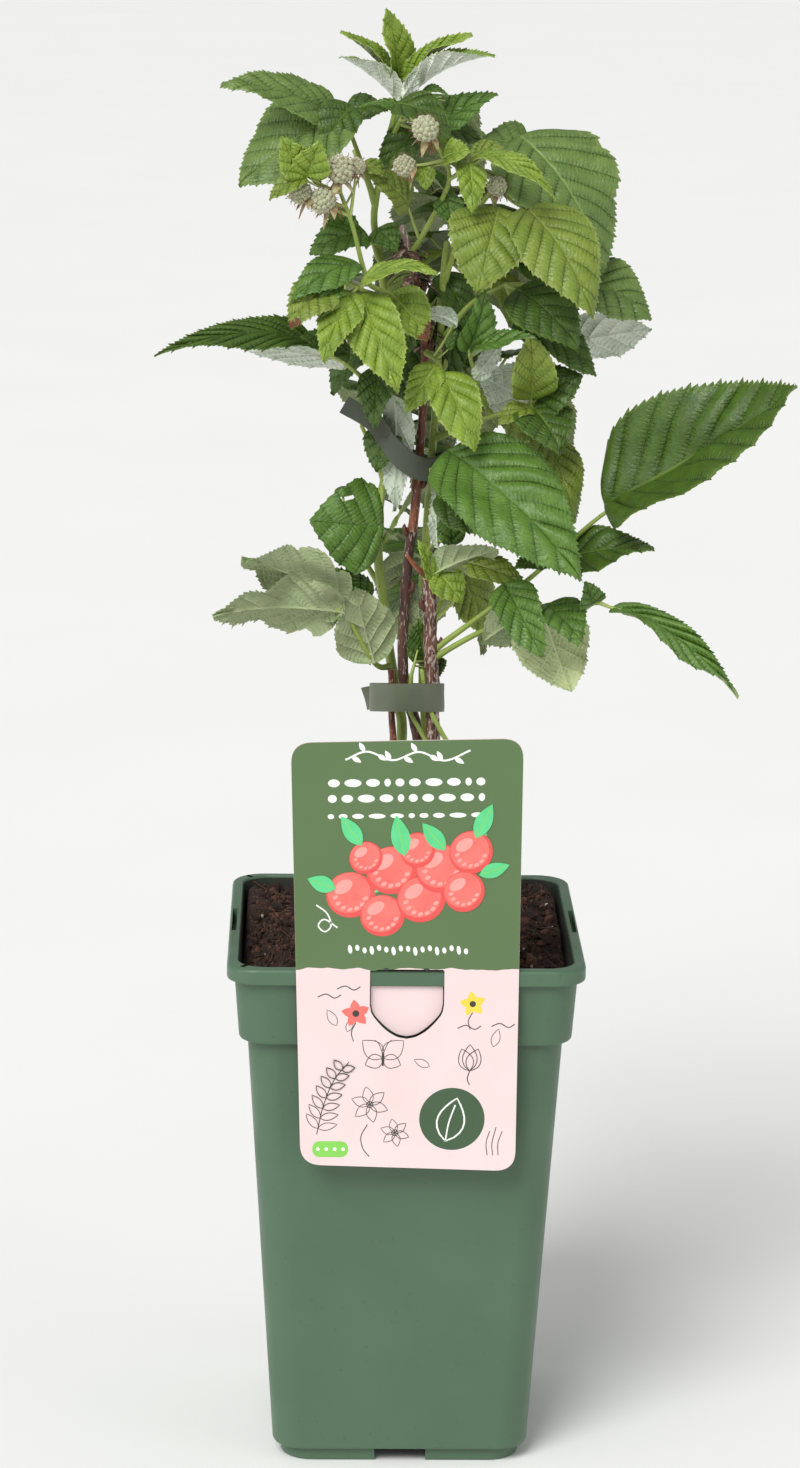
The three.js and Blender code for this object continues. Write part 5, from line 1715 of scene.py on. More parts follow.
def dried_strip(skin: Skin, foot: Array, way: Array, long: float, kind: int, wide: float = 0.3) -> None:
    """Adds a thin pointed scale that starts along a way and curls down.

    Args:
        skin: What it is added to.
        foot: Where it starts.
        way: The direction in which it starts.
        long: Its length.
        kind: The number of its finish.
        wide: Its width as a share of its length.
    """
    share = np.linspace(0, 1, 7)[:, None]
    line = foot + way * long * share + np.array([0, 0, -0.75 * long]) * share**2
    across = unit(np.cross(way, [0.1, 0.2, 1.0]))
    face = np.cross(across, way)
    half = long * wide / 2 * np.sin(np.pi * np.clip(share * 0.84 + 0.14, 0, 1))
    rings = [
        np.array([spot - across * w, spot - face * 0.25, spot + across * w, spot + face * 0.3])
        for spot, w in zip(line, half)
    ]
    skin.loft(rings, kind)


CANES = {
    cane.name: cane
    for cane in (
        Cane(
            "cane_main", Rind.BARK, (3.4, 1.6),
            (
                (15, 4, 240), (11, 3, 290), (6, 1, 350), (-1, 0, 375), (-2, 0, 400), (-1, 0, 424),
                (0, 0, 441), (2, 0, 458), (4, 0, 478), (5, 0, 497), (6, 0, 516), (7, 0, 531), (6, 0, 550),
                (3, 0, 569), (-1, 0, 585), (-5, 0, 598),
            ),
            buds=(
                (452, -60), (475, 80), (520, -40), (541, 70), (424, 60), (556, -50), (568, 60), (581, -30),
            ),
            husks=(538, 592, 84), greyed_below=452, bleached_above=577, seed=3, wobble=0.25,
        ),
        Cane(
            "cane_old", Rind.OLD, (3.8, 3.1),
            (
                (20, -8, 240), (16, -7, 300), (13.5, -6, 350), (12.5, -6, 372), (11.5, -6, 396),
                (10.5, -6, 420), (10, -6, 431),
            ),
            buds=((398, 75), (417, -70)), cut=True, seed=5, wobble=0.3,
        ),
        Cane(
            "cane_twig", Rind.BARK, (1.6, 1.1), ((8.5, -6, 432.6), (4, -6.5, 436), (-1, -6, 442)),
            seed=7, sides=12,
        ),
        Cane(
            "cane_stub", Rind.BARK, (2.2, 1.6),
            ((-12, 6, 240), (-9, 4, 310), (-7, 2, 347), (-8, 2, 362), (-8, 3, 384)),
            cut=True, seed=9, sides=14,
        ),
        Cane(
            "young_cane_left", Rind.GREEN, (3.0, 1.5),
            (
                (-3, 16, 240), (-2, 12, 300), (-2, 9, 350), (-4, 9, 366), (-8, 9, 393), (-12, 8, 418),
                (-14, 7, 437), (-14, 6, 459), (-11, 6, 483), (-9, 7, 505), (-10, 7, 534), (-13, 6, 563),
                (-16, 6, 586), (-18, 6, 602), (-15, 6, 624), (-11, 6, 640),
            ),
            buds=((405, -80), (447, 90), (520, -90), (575, 80)), seed=13,
        ),
        Cane(
            "young_cane_right", Rind.GREEN, (2.8, 1.6),
            (
                (10, 18, 240), (10, 14, 300), (10, 10, 350), (9, 8, 372), (8, 8, 408), (8, 8, 445),
                (10, 8, 467), (12, 8, 496), (13, 8, 520), (14, 8, 549), (15, 7, 577), (16, 6, 590),
            ),
            buds=((430, 100), (480, -100), (530, 90)), seed=17,
        ),
        Cane(
            "slender_stem_front", Rind.GREEN, (1.3, 1.1),
            (
                (16, -14, 240), (16, -12.5, 290), (15, -11, 322), (12.8, -9.6, 343), (7.3, -7.3, 355),
                (2, -7, 365), (1.6, -7, 374), (2, -7, 384),
            ),
            seed=19, sides=12, wobble=0,
        ),
        Cane(
            "slender_stem_right", Rind.GREEN, (1.3, 1.1),
            (
                (34, -16, 240), (31, -15.2, 290), (28, -14.3, 322), (25, -13.5, 342), (16.5, -11.6, 357),
                (10, -9, 370), (7, -7, 386),
            ),
            seed=23, sides=12, wobble=0,
        ),
    )
}


# ---------- foliage


@dataclass(frozen=True)
class Leaf:
    """One leaflet on its stalk.

    Attributes:
        at: Where its stalk leaves the shoot: whole numbers are the shoot's bends.
        stalk: The stalk's heading, rise and length.
        blade: The blade's heading, rise, length and width.
        roll: The turn of the upper face about the midrib.
        tint: The name of its green.
        arch: How far the midrib bows up, as a share of the length.
        fold: The rise of both halves from the midrib.
        pair: Side leaflets as heading, rise, length and width.
        ragged: How crumpled and lobed it is, beside a fresh leaf's 1.
        holes: Where it is eaten through, as shares along and across.
        browned: The share of its length from which it is dead and brown.
    """

    at: float
    stalk: Point
    blade: Lie
    roll: float
    tint: str
    arch: float = 0.1
    fold: float = 15
    pair: tuple[Lie, ...] = ()
    ragged: float = 1.0
    holes: tuple[Pair, ...] = ()
    browned: float = 2.0


@dataclass(frozen=True)
class Berry:
    """One unripe fruit on its stalk."""

    at: float
    stalk: Point
    radius: float


@dataclass(frozen=True)
class Shoot:
    """A leafy shoot: its foot on a cane, its legs as heading, rise and length, and what it bears."""

    foot: Point
    legs: tuple[Point, ...]
    leaves: tuple[Leaf, ...]
    berries: tuple[Berry, ...] = ()
    slim: float = 1.0

    def corners(self) -> Array:
        """The shoot's bends, from its foot to its tip.

        Returns:
            The points, n by 3.
        """
        path = [np.array(self.foot, float)]
        for heading, rise, long in self.legs:
            path.append(path[-1] + aim(heading, rise) * long)
        return np.array(path)

    def along(self, at: float) -> Array:
        """The point at a place along the shoot.

        Args:
            at: The place, as a number of bends from the foot.

        Returns:
            The point.
        """
        path = self.corners()
        leg = min(int(at), len(path) - 2)
        return path[leg] + (path[leg + 1] - path[leg]) * (at - leg)


# The masses of leaves in front, by their nodes' names without "leaves_".
FRONT_MASSES = {
    "top_rosette": Shoot((-11, 6, 639), ((63, 79, 23),), (
        Leaf(1, (0, 67, 5), (-37, 73, 35, 19), -100, "bright", 0.04, 30),
        Leaf(1, (13, 36, 5), (66, 36, 43, 14), 40, "bright", 0.06, 40),
        Leaf(1, (-25, 52, 4), (-66, 41, 38, 12), -40, "bright", 0.06, 40),
        Leaf(0.7, (39, 28, 10), (62, 25, 49, 22), 6, "woolly", 0.09, 50),
        Leaf(0.7, (9, 31, 5), (-58, 34, 38, 17), 4, "woolly", 0.05, 50),
        Leaf(0.8, (16, 13, 11), (38, 49, 16, 8), -60, "woolly", 0.05, 20),
        Leaf(0.6, (55, 28, 16), (73, 5, 13, 7), 30, "mid", 0.2, 20),
    )),
    "upper_left": Shoot((-17, 6, 606), ((-62, 69, 24), (-55, 66, 17)), (
        Leaf(2, (-47, 30, 7), (-72, 19, 60, 27), -45, "fresh", 0.1, 12, ragged=1.6),
        Leaf(2, (-18, 60, 13), (-72, -35, 63, 50), -35, "fresh", 0.04, 10, ragged=1.3),
        Leaf(2, (6, 44, 17), (-55, -47, 25, 21), -45, "dark", 0.15),
        Leaf(2, (-15, 75, 8), (108, 5, 20, 16), 40, "dark", 0.12),
    )),
    "top_right": Shoot((-13, 6, 633), ((51, 59, 19),), (
        Leaf(1, (-13, 28, 16), (65, -29, 32, 22), 30, "dark", 0.18),
        Leaf(0.8, (101, -6, 10), (-70, -47, 30, 19), -40, "dark", 0.05),
        Leaf(1, (98, -21, 17), (70, 32, 35, 19), 50, "mid", 0.05, 20),
        Leaf(1, (114, -13, 20), (80, -24, 24, 13), 35, "dark"),
        Leaf(0.9, (24, 4, 11), (-80, 16, 26, 8), -30, "mid", 0.2),
    )),
    "fruit_left": Shoot((4, 0, 563), ((-48, 16, 28), (-45, 40, 11), (-48, 70, 26), (-69, 68, 16)), (
        Leaf(4, (-58, 23, 20), (-66, 55, 23, 17), -105, "bright", 0.05, 20),
        Leaf(4, (-58, 23, 20), (42, 64, 19, 18), 140, "bright", 0.05, 20),
        Leaf(4, (-58, 23, 20), (-65, -26, 21, 13), -25, "olive", 0.1, 20),
        Leaf(3.6, (113, 65, 20), (107, -20, 14, 10), 45, "olive", 0.15),
        Leaf(4, (-77, 26, 10), (-70, 27, 6, 6), -45, "dark", 0.1, 10),
    ), (
        Berry(3.3, (-67, 25, 27), 5.8),
        Berry(3.6, (-51, 14, 14), 6.3),
        Berry(4, (-3, 62, 13), 6.8),
        Berry(3.2, (39, 79, 25), 4.3),
    )),
    "fruit_right": Shoot((-1, 0, 584), ((42, 53, 27), (39, 59, 20), (-47, 66, 14)), (
        Leaf(2, (49, 36, 15), (6, -61, 25, 14), 0, "bright", 0.08),
        Leaf(2, (54, 36, 17), (55, -18, 47, 13), 25, "bright", 0.18, 20),
        Leaf(2.8, (2, 2, 3), (58, 17, 15, 15), 50, "bright", 0.1, 20),
        Leaf(2, (67, 45, 14), (75, 23, 17, 13), 45, "olive"),
        Leaf(2.6, (-80, -8, 10), (24, -68, 11, 10), 20, "bright", 0.05, 20),
        Leaf(0.4, (-28, 58, 20), (-58, 37, 28, 19), -70, "olive"),
        Leaf(0.9, (64, 57, 13), (25, -64, 15, 14), 20, "mid"),
    ), (
        Berry(2.7, (-74, -7, 19), 5.3),
        Berry(3, (-24, 33, 23), 6.3),
    )),
    "upper_right": Shoot((15, 7, 570), ((72, 69, 28), (96, 55, 36)), (
        Leaf(2, (113, 71, 16), (61, -53, 77, 62), 30, "fresh", 0.14, 8, ragged=1.9),
        Leaf(2, (101, 35, 12), (-75, 17, 24, 25), -50, "fresh", 0.12),
        Leaf(1.6, (6, -7, 28), (-24, -55, 45, 41), -20, "olive", 0.12, 10),
        Leaf(1.7, (21, -9, 34), (46, -48, 65, 40), 25, "olive", 0.14, 10),
    ), (
        Berry(1.8, (-5, 0, 28), 4.8),
    )),
    "right": Shoot((14, 8, 542), ((48, 48, 27), (64, 31, 21)), (
        Leaf(2, (38, -6, 8), (55, -36, 43, 34), 35, "dark", 0.12, 12),
        Leaf(2, (111, 5, 34), (69, -24, 44, 35), 35, "fresh", 0.1, 10),
        # This hanging leaf takes the whiter woolly felt as painted light, for the light that shines through
        # it.
        Leaf(2, (111, -40, 44), (78, 11, 40, 27), -65, "woolly", 0.03, 6),
        Leaf(2, (107, -67, 17), (67, -32, 47, 27), 35, "dark", 0.1, 12),
    )),
    "mid_right": Shoot((12, 8, 496), ((53, 24, 29), (66, 21, 27)), (
        Leaf(2, (1, 33, 5), (-8, 68, 36, 24), -160, "olive", 0.1, 25),
        Leaf(2, (6, -22, 2), (33, -38, 30, 31), 10, "dark"),
        Leaf(2, (149, 12, 3), (74, 32, 27, 27), 65, "dark", 0.08),
        Leaf(2, (-155, 1, 2), (-100, 28, 27, 32), 70, "silver", 0.05),
        Leaf(2, (2, -13, 4), (-53, -17, 21, 13), -25, "olive"),
    )),
    "shoot_centre": Shoot((13, 8, 509), ((39, 25, 31), (-15, 53, 24)), (
        Leaf(2, (-77, 57, 2), (37, 68, 33, 18), 160, "mid", 0.08, 30),
        Leaf(2, (11, 21, 2), (60, 19, 35, 14), 35, "mid", 0.08, 30),
        Leaf(1.6, (17, -36, 5), (56, 52, 23, 10), -75, "silver", 0.05, 20),
    )),
    "centre": Shoot((7, 0, 539), ((17, -6, 19),), (
        Leaf(1, (11, -24, 9), (38, -54, 42, 24), 30, "bright", 0.08, 12),
        Leaf(1, (-8, -2, 6), (-50, -49, 29, 16), -40, "bright", 0.08),
        Leaf(0.6, (35, 45, 26), (-77, 12, 19, 12), 45, "silver", 0.2, 10),
        Leaf(0.8, (45, 35, 10), (40, 63, 11, 5), 100, "mid", 0.1, 10),
        Leaf(0.1, (157, 64, 40), (60, -60, 30, 20), 30, "dark"),
        Leaf(0.1, (176, 51, 29), (-60, -65, 28, 18), -30, "mid"),
    )),
    "mid_left": Shoot((5, 0, 555), ((-39, 20, 28), (-47, 25, 22), (-68, 22, 11)), (
        Leaf(1.5, (-50, 12, 7.5), (40, -57, 51, 27), 45, "bright", 0.1, 14),
        Leaf(1, (10, 44, 8.5), (58, -43, 29, 23), 45, "bright", 0.08, browned=0.84),
        Leaf(2, (-91, -38, 3), (-40, -56, 37, 20), -25, "bright"),
        Leaf(2.6, (-131, 5, 4), (-34, -47, 22, 10), -25, "mid"),
        Leaf(3, (-141, -29, 6), (-53, -37, 29, 23), -30, "olive", 0.1, 12, browned=0.9),
        Leaf(2.4, (160, 35, 15), (-57, -23, 40, 23), -25, "mid", 0.1, 12),
        Leaf(1.9, (3, 39, 7), (68, 10, 38, 14), 30, "bright", 0.12),
        Leaf(0.1, (-125, -29, 32), (-75, -50, 30, 20), -30, "dark"),
        Leaf(0, (155, 30, 34), (10, -75, 54, 25), 0, "dark", 0.1, 12),
        Leaf(0, (-170, 2, 30), (-20, -75, 46, 23), 0, "dark", 0.1, 12),
    )),
    "left_upper": Shoot((-15, 6, 581), ((-30, 52, 11),), (
        Leaf(1, (-30, 43, 10), (-62, -16, 31, 22), -35, "mid", 0.1, 12),
        Leaf(1, (-61, 20, 13), (-66, 56, 19, 14), -115, "mid", 0.05, 12),
        Leaf(1, (16, 62, 9), (52, -35, 16, 15), 35, "mid", 0.1, 12),
    )),
    "left_long": Shoot((-10, 7, 521), ((-37, 12, 14), (-73, 38, 18)), (
        Leaf(2, (-69, 36, 14), (-64, 0, 86, 18), -45, "dark", 0.16),
        Leaf(2, (136, -6, 3), (-77, 10, 56, 14), 70, "woolly", 0.04, 10),
        Leaf(2, (26, 30, 8), (-73, 23, 28, 17), -45, "dark"),
        Leaf(1, (48, 57, 11), (-17, -65, 30, 19), 5, "dark", 0.1, 20),
    )),
    "centre_pale": Shoot((-9, 7, 517), ((24, -1, 14),), (
        Leaf(1, (-70, 31, 5), (-10, -89, 56, 20), -155, "silver", 0.05, 8, ragged=1.6),
        Leaf(0.5, (-80, -76, 14), (-47, -67, 23, 20), -15, "dark"),
    )),
    "left_round": Shoot((-12, 6, 477), ((-17, -75, 16),), (
        Leaf(
            1, (35, -72, 8), (-80, 7, 36, 46), -75, "mid", 0.04, 5,
            ragged=1.6, holes=((0.5, 0.62), (0.56, 0.55)),
        ),
    )),
    "left_low": Shoot((-7, 9, 384), ((-34, 18, 17), (-58, 58, 34)), (
        Leaf(2, (86, 68, 2), (-66, 27, 60, 37), 55, "pale", 0.06, 12, ragged=2.8),
        Leaf(2, (17, -42, 3), (-66, 3, 68, 34), 60, "pale", 0.08, 12, ragged=2.6),
        Leaf(1, (3, 12, 2), (-41, 69, 42, 32), 60, "pale", 0.05, 12, ragged=1.6),
        Leaf(2, (139, -1, 19), (-70, 44, 26, 16), -90, "dark", 0.08),
    )),
    "big_front": Shoot((10, 8, 469), ((0, 36, 27),), (
        Leaf(1, (40, 45, 16), (52, -34, 94, 53), 35, "mid", 0.1, 12),
        Leaf(0.7, (21, -35, 11), (61, -26, 51, 26), 40, "dark", 0.08, 14),
        Leaf(1, (92, 21, 55), (38, -56, 49, 25), 5, "olive", 0.06, 12),
    )),
    "big_right": Shoot((13, -6, 396), ((69, 39, 57), (74, 44, 41), (81, 40, 16)), (
        Leaf(3, (-89, 25, 4), (64, 34, 113, 69), 50, "dark", -0.03, 32),
        Leaf(1.3, (60, 30, 8), (61, 13, 52, 29), 35, "dark", 0.05),
        Leaf(1.3, (23, 36, 8), (-59, -5, 19, 14), -30, "dark", 0.08),
    )),
    "right_low": Shoot((13, -6, 392), ((70, 32, 27), (56, 26, 40), (64, 8, 28)), (
        Leaf(3, (71, -9, 6), (58, -28, 76, 17), 25, "mid", 0.12, 25),
        Leaf(2.8, (76, -36, 2), (-26, 55, 16, 14), -135, "mid", 0.1, 20),
        Leaf(1.6, (-38, 54, 22), (33, -43, 43, 24), 35, "mid", 0.08, 25),
        Leaf(2, (-1, 18, 6), (35, -26, 30, 26), 15, "mid", 0.08, 20),
        Leaf(2, (-161, -36, 5), (39, -59, 42, 38), -150, "lit", 0.05, 10, ragged=1.3),
        Leaf(1.4, (74, 23, 8), (-67, -28, 24, 24), 80, "pale", 0.05, 12),
    )),
    "centre_right_low": Shoot((8, 8, 427), ((51, 29, 11), (46, 22, 12)), (
        Leaf(2, (170, -9, 2), (120, -63, 43, 24), 90, "olive", 0.05, 12),
        Leaf(2, (24, 20, 12), (63, -15, 32, 17), 35, "olive", 0.05, 14),
        Leaf(1.5, (-42, 1, 11), (65, 23, 36, 22), -50, "pale", 0.05, 14),
        Leaf(1.3, (-29, 11, 9), (64, -47, 20, 18), 50, "bright", 0.05, 14),
        Leaf(0.8, (-6, -6, 13), (-62, 67, 23, 8), -95, "bright", 0.05, 25),
    )),
    "centre_low": Shoot((2, -7, 383), ((149, 63, 18),), (
        Leaf(0.8, (171, 60, 11), (-60, 84, 21, 13), 60, "pale", 0.03, 5),
        Leaf(0.4, (133, -18, 7), (-40, 77, 24, 15), -140, "dark", 0.05, 10),
        Leaf(0.3, (131, -15, 11), (75, 30, 9, 12), 70, "dark", 0.05, 10),
    ), slim=0.5),
    "centre_slim": Shoot((8, 8, 438), ((23, 40, 17),), (
        Leaf(1, (25, -66, 3), (-94, 87, 30, 7), 105, "silver", 0.02, 20),
        Leaf(1, (62, -12, 9), (-39, 79, 25, 14), -130, "mid", 0.04, 25),
    )),
}


class Dice:
    """A small seeded generator of numbers from 0 to 1."""

    WORD = 0xFFFFFFFF
    STEP = 0x6D2B79F5

    def __init__(self, seed: int) -> None:
        """Starts from a whole number."""
        self.state = seed & self.WORD

    def __call__(self) -> float:
        """The next number.

        Returns:
            A number from 0 to 1.
        """
        word = self.WORD
        self.state = (self.state + self.STEP) & word
        mixed = (self.state ^ (self.state >> 15)) * (self.state | 1) & word
        mixed = ((mixed + ((mixed ^ (mixed >> 7)) * (mixed | 61) & word)) & word) ^ mixed
        return ((mixed ^ (mixed >> 14)) & word) / (word + 1)

    def between(self, span: Pair) -> float:
        """A number within a span."""
        return span[0] + (span[1] - span[0]) * self()


@dataclass(frozen=True)
class BackShoots:
    """The rule for the shoots behind the canes, which fill the crown as seen from all sides."""

    shoots: tuple[tuple[str, float, int], ...] = (
        ("young_cane_right", 165, 37), ("young_cane_left", 205, 82), ("young_cane_right", 135, 30),
        ("young_cane_left", 195, 82), ("young_cane_right", 140, 30), ("young_cane_left", 205, 82),
        ("young_cane_right", 155, 30), ("young_cane_right", 160, 10), ("young_cane_left", 195, 82),
        ("young_cane_left", 170, 33),
    )
    lowest: float = 396
    highest: float = 636
    leg_long: Pair = (6, 30)
    leg_rise: Pair = (5, 35)
    leg_turn: Pair = (-10, 10)
    second_leg: float = 0.7
    leaf_places: tuple[float, ...] = (0.7, 1.35, 2)
    leaf_turn: Pair = (21, 60)
    end_turn: float = 0.3
    stalk_long: Pair = (18, 40)
    stalk_rise: Pair = (5, 40)
    blade_long: Pair = (44, 68)
    blade_rise: Pair = (-18, -63)
    blade_wide: float = 0.62
    arch: float = 0.1
    fold: float = 14
    pair_size: Pair = (0.68, 0.92)
    pair_turn: float = 76
    pair_lift: float = 8
    nearest: float = 9
    lean: float = 0.24
    margin: float = 0.4
    tints: tuple[str, ...] = ("mid", "dark", "olive", "mid", "dark", "bright")
    edge: tuple[Point, ...] = (
        (385, -22, 17), (420, -38, 50), (475, -44, 80), (505, -26, 84), (550, -52, 86), (600, -52, 100),
        (640, -16, 92), (662, 8, 46),
    )

    def crown_edge(self, height: float) -> Pair:
        """The crown's left and right edge at a height, or an empty span outside it.

        Args:
            height: The height.

        Returns:
            The left and the right X.
        """
        above = next((k for k, row in enumerate(self.edge) if row[0] > height), -1)
        if above < 1:
            return 0.0, 0.0
        low, high = self.edge[above - 1], self.edge[above]
        share = (height - low[0]) / (high[0] - low[0])
        return low[1] + (high[1] - low[1]) * share, low[2] + (high[2] - low[2]) * share

    def stays_behind(self, foot: Array, blade: Lie) -> bool:
        """Whether a blade keeps to the space behind the canes, at its middle and its tip.

        Args:
            foot: Where the blade starts.
            blade: How it lies.

        Returns:
            Whether it does.
        """
        heading, rise, long, wide = blade
        for share in (0.5, 1.0):
            x, y, z = foot + aim(heading, rise) * share * long
            margin = wide * self.margin if share < 1 else 0
            left, right = self.crown_edge(z + self.lean * y)
            if not (x - margin > left and x + margin < right and y > self.nearest):
                return False
        return True

    def shoot(self, index: int) -> Shoot:
        """One shoot with the leaflets that it is dealt.

        Args:
            index: The shoot's number.

        Returns:
            The shoot.
        """
        cane, heading, seed = self.shoots[index]
        roll = Dice(seed)
        climb = (self.highest - self.lowest) / (len(self.shoots) - 1)
        foot = tuple(CANES[cane].middle(self.lowest + climb * index))
        first = (heading, roll.between(self.leg_rise), roll.between(self.leg_long))
        turned = heading + roll.between(self.leg_turn)
        second = (turned, roll.between(self.leg_rise), self.second_leg * first[2])
        bare = Shoot(foot, (first, second), ())
        leaves = []
        for k, at in enumerate(self.leaf_places):
            side = (1 if k % 2 else -1) * (1 if at < 2 else self.end_turn)
            out = heading + side * roll.between(self.leaf_turn)
            stalk = (out, roll.between(self.stalk_rise), roll.between(self.stalk_long))
            long = roll.between(self.blade_long)
            rise = roll.between(self.blade_rise)
            tint = self.tints[int(roll() * len(self.tints))]
            blades = [(out, rise, long, long * self.blade_wide)]
            for side in (-1, 1):
                size = long * roll.between(self.pair_size)
                way = out + side * self.pair_turn
                blades.append((way, rise + self.pair_lift, size, size * self.blade_wide))
            tip = bare.along(at) + aim(out, stalk[1]) * stalk[2]
            kept = [blade for blade in blades if self.stays_behind(tip, blade)]
            if kept:
                leaves.append(Leaf(at, stalk, kept[0], 0, tint, self.arch, self.fold, tuple(kept[1:])))
        return Shoot(foot, (first, second), tuple(leaves))


@dataclass(frozen=True)
class Blade:
    """A pleated, toothed leaf blade with sunken veins above and raised ribs below."""

    leaf: Leaf
    foot: Array
    lie: Lie
    seed: int

    HOLE = 1.9  # the radius of an eaten hole
    COLUMNS = (0, 0.024, 0.12, 0.26, 0.41, 0.55, 0.69, 0.83, 0.94, 1)
    SMALL_COLUMNS = (0, 0.05, 0.28, 0.55, 0.8, 1)
    SMALL = 34  # blades shorter than this have the small columns
    THICK = 0.5
    WIDEST = 0.4027  # the peak of the curve in half
    TOOTH_PEAK = 0.2  # where a tooth's tip stands on its way from one notch to the next
    BROWN = 4  # the number of the dead finish

    def steps(self, teeth: int) -> Array:
        """The places of the mesh's rows from one side vein to the next, dense at veins and teeth.

        Args:
            teeth: How many teeth there are between side veins.

        Returns:
            The places, from 0 to 1.
        """
        cuts = {round((k + part) / teeth, 4) for k in range(teeth) for part in (0, self.TOOTH_PEAK, 0.6)}
        grooves = {0.045, 0.955}
        kept = {cut for cut in cuts if cut == 0 or min(abs(cut - g) for g in grooves) > 0.03}
        return np.array(sorted(kept | grooves))

    def frame(self) -> tuple[Array, Array, Array]:
        """The directions along the midrib, across it, and out of the upper face.

        Returns:
            The three unit vectors.
        """
        along = aim(self.lie[0], self.lie[1])
        up = unit(UP - along * along[2])
        across = np.cross(along, up)
        turn = math.radians(self.leaf.roll)
        face = up * math.cos(turn) + across * math.sin(turn)
        return along, np.cross(along, face), face

    @staticmethod
    def half(v: Array) -> Array:
        """Half the width at v from foot to tip, as a share of the widest."""
        v = np.clip(v, 1e-9, 1)
        return v**0.47 * (1 - v) ** 0.97 / Blade.WIDEST

    def add_to(self, skin: Skin) -> None:
        """Adds the blade's closed shape, with finishes 0 to 3: upper, midrib, underside and rib.

        Args:
            skin: The skin that it goes in.
        """
        _, _, long, wide = self.lie
        along, across, face = self.frame()
        draw = np.random.default_rng(self.seed)
        pairs = int(np.clip(round(3 + long / 17), 4, 8))
        teeth = int(np.clip(round(long / pairs / 2.9), 2, 4))
        steps = self.steps(teeth)
        right = np.array(self.SMALL_COLUMNS if long < self.SMALL else self.COLUMNS)
        spans = draw.uniform(0.8, 1.2, pairs)
        spans /= spans.sum()
        starts = np.cumsum(spans) - spans
        near_foot = np.array([1e-5, 0.0015, 0.005])
        inner = starts[:, None] + spans[:, None] * steps
        rows = np.concatenate([near_foot, inner.ravel()[1:], [0.998]])
        places = np.concatenate([near_foot / spans[0], np.tile(steps, pairs)[1:], [0.5]])
        places[0] = 0
        widths = [spans[:1], spans[:1], np.repeat(spans, len(steps)), spans[-1:]]
        spacing = long * np.concatenate(widths)[:, None]
        columns = np.concatenate([-right[:0:-1], right])
        s, u = np.meshgrid(rows, columns, indexing="ij")
        p = np.repeat(places[:, None], len(columns), 1)
        r, side = np.abs(u), np.sign(u)
        edge_v, mid_v = s**0.62, s**1.5
        v = mid_v + (edge_v - mid_v) * (0.85 * r + 0.15 * r**3)
        half = (side > 0).astype(int)
        lobes = draw.uniform(0, 1, 2)[half] + 3.1 * edge_v
        cleft = 0.16 * (self.leaf.ragged - 1) * (1 - np.abs(np.sin(np.pi * lobes)) ** 0.7)
        reach = wide / 2 * self.half(edge_v) * (1 - cleft * np.clip(edge_v / 0.2, 0, 1))
        q, peak = (teeth * p) % 1, self.TOOTH_PEAK
        tooth = np.where(q < peak, 1 - q / peak, (q - peak) / 0.8)
        tooth = tooth * np.where(np.abs(p - 0.5) > 0.35, 1.0, 0.6) - 0.3
        bite = draw.uniform(0.8, 1.3) * (0.014 * long + 0.45)
        tooth *= (r == 1) * np.clip(edge_v / 0.12, 0, 1) * bite * np.clip((0.998 - s) / 0.04, 0, 1)
        lateral = r * reach + tooth
        forward = v * long + 0.7 * tooth
        share = np.clip(forward / long, 0, 1.02)
        flat = np.stack([forward, side * lateral, np.full_like(forward, 9.0 * self.seed)], -1)
        uneven = draw.uniform(0.6, 1.25, 2)[half] * (1 + 0.4 * Ripple(self.seed, 26).at(flat))
        swell = np.abs(np.sin(np.pi * p)) ** 0.7 - 0.5
        pleat = 0.14 * spacing * swell * uneven * np.interp(r, [0, 0.2, 0.7, 1], [0, 0.9, 1, 0.6])
        crumple = self.leaf.ragged * 0.012 * long * Ripple(self.seed + 300, 0.42 * long + 4).at(flat)
        crumple = crumple * np.interp(r, [0, 0.3, 1], [0.2, 1, 1.4])
        phase = draw.uniform(0, 2 * np.pi, 2)[half]
        wave = 0.03 * long * r**2 * np.sin(2 * np.pi * 1.4 * share + phase)
        droop = -0.06 * wide * r**3
        lift = math.radians(self.leaf.fold)
        bow = self.leaf.arch * long * 4 * share * (1 - share)
        normal = face * math.cos(lift) - across * (side * math.sin(lift))[..., None]
        top = (
            self.foot
            + along * forward[..., None]
            + face * (bow + lateral * math.sin(lift))[..., None]
            + across * (side * lateral * math.cos(lift))[..., None]
            + normal * (pleat + crumple + wave + droop - 0.3 * (r == 0))[..., None]
        )
        on_vein = (p == 0) | (p == steps[-1]) | (p == steps[1])
        rib = 0.3 * (1 - 0.6 * r) * on_vein * (r < 0.9) + (r == 0) * 0.9 * (1 - 0.7 * share)
        under = top - normal * (self.THICK * (1 - 0.4 * r) + rib)[..., None]
        beside = np.minimum(p, 1 - p) * spacing
        field_number = np.concatenate([[0] * 3, np.repeat(range(pairs), len(steps))[1:], [pairs - 1]])
        started = draw.uniform(0, 2, (pairs, 2))[field_number][:, (columns > 0).astype(int)]
        out = 0.62 * forward + 0.78 * lateral + started
        veins = np.stack([beside, out, r], -1).reshape(-1, 3)
        near_vein = (p[:-1, :-1] == steps[-1]) | (p[:-1, :-1] == 0)
        outer = np.maximum(r[:-1, :-1], r[:-1, 1:])
        midrib, rib = outer < 0.08, (near_vein & (outer < 0.9)) | (outer < 0.08)
        dead = share[:-1, :-1] + 0.05 * (crumple[:-1, :-1] > 0) > self.leaf.browned
        marks = np.stack([np.where(dead, self.BROWN, midrib), np.where(dead, self.BROWN, rib + 2)])
        middle = np.stack([forward, side * lateral], -1)
        middle = (middle[:-1, :-1] + middle[1:, 1:]) / 2
        solid = np.full(outer.shape, True)
        for place, out_share in self.leaf.holes:
            spot = np.array([place * long, out_share * wide / 2])
            solid &= np.linalg.norm(middle - spot, axis=-1) > self.HOLE
        self.close(skin, top, under, marks, solid, np.concatenate([veins, veins]))

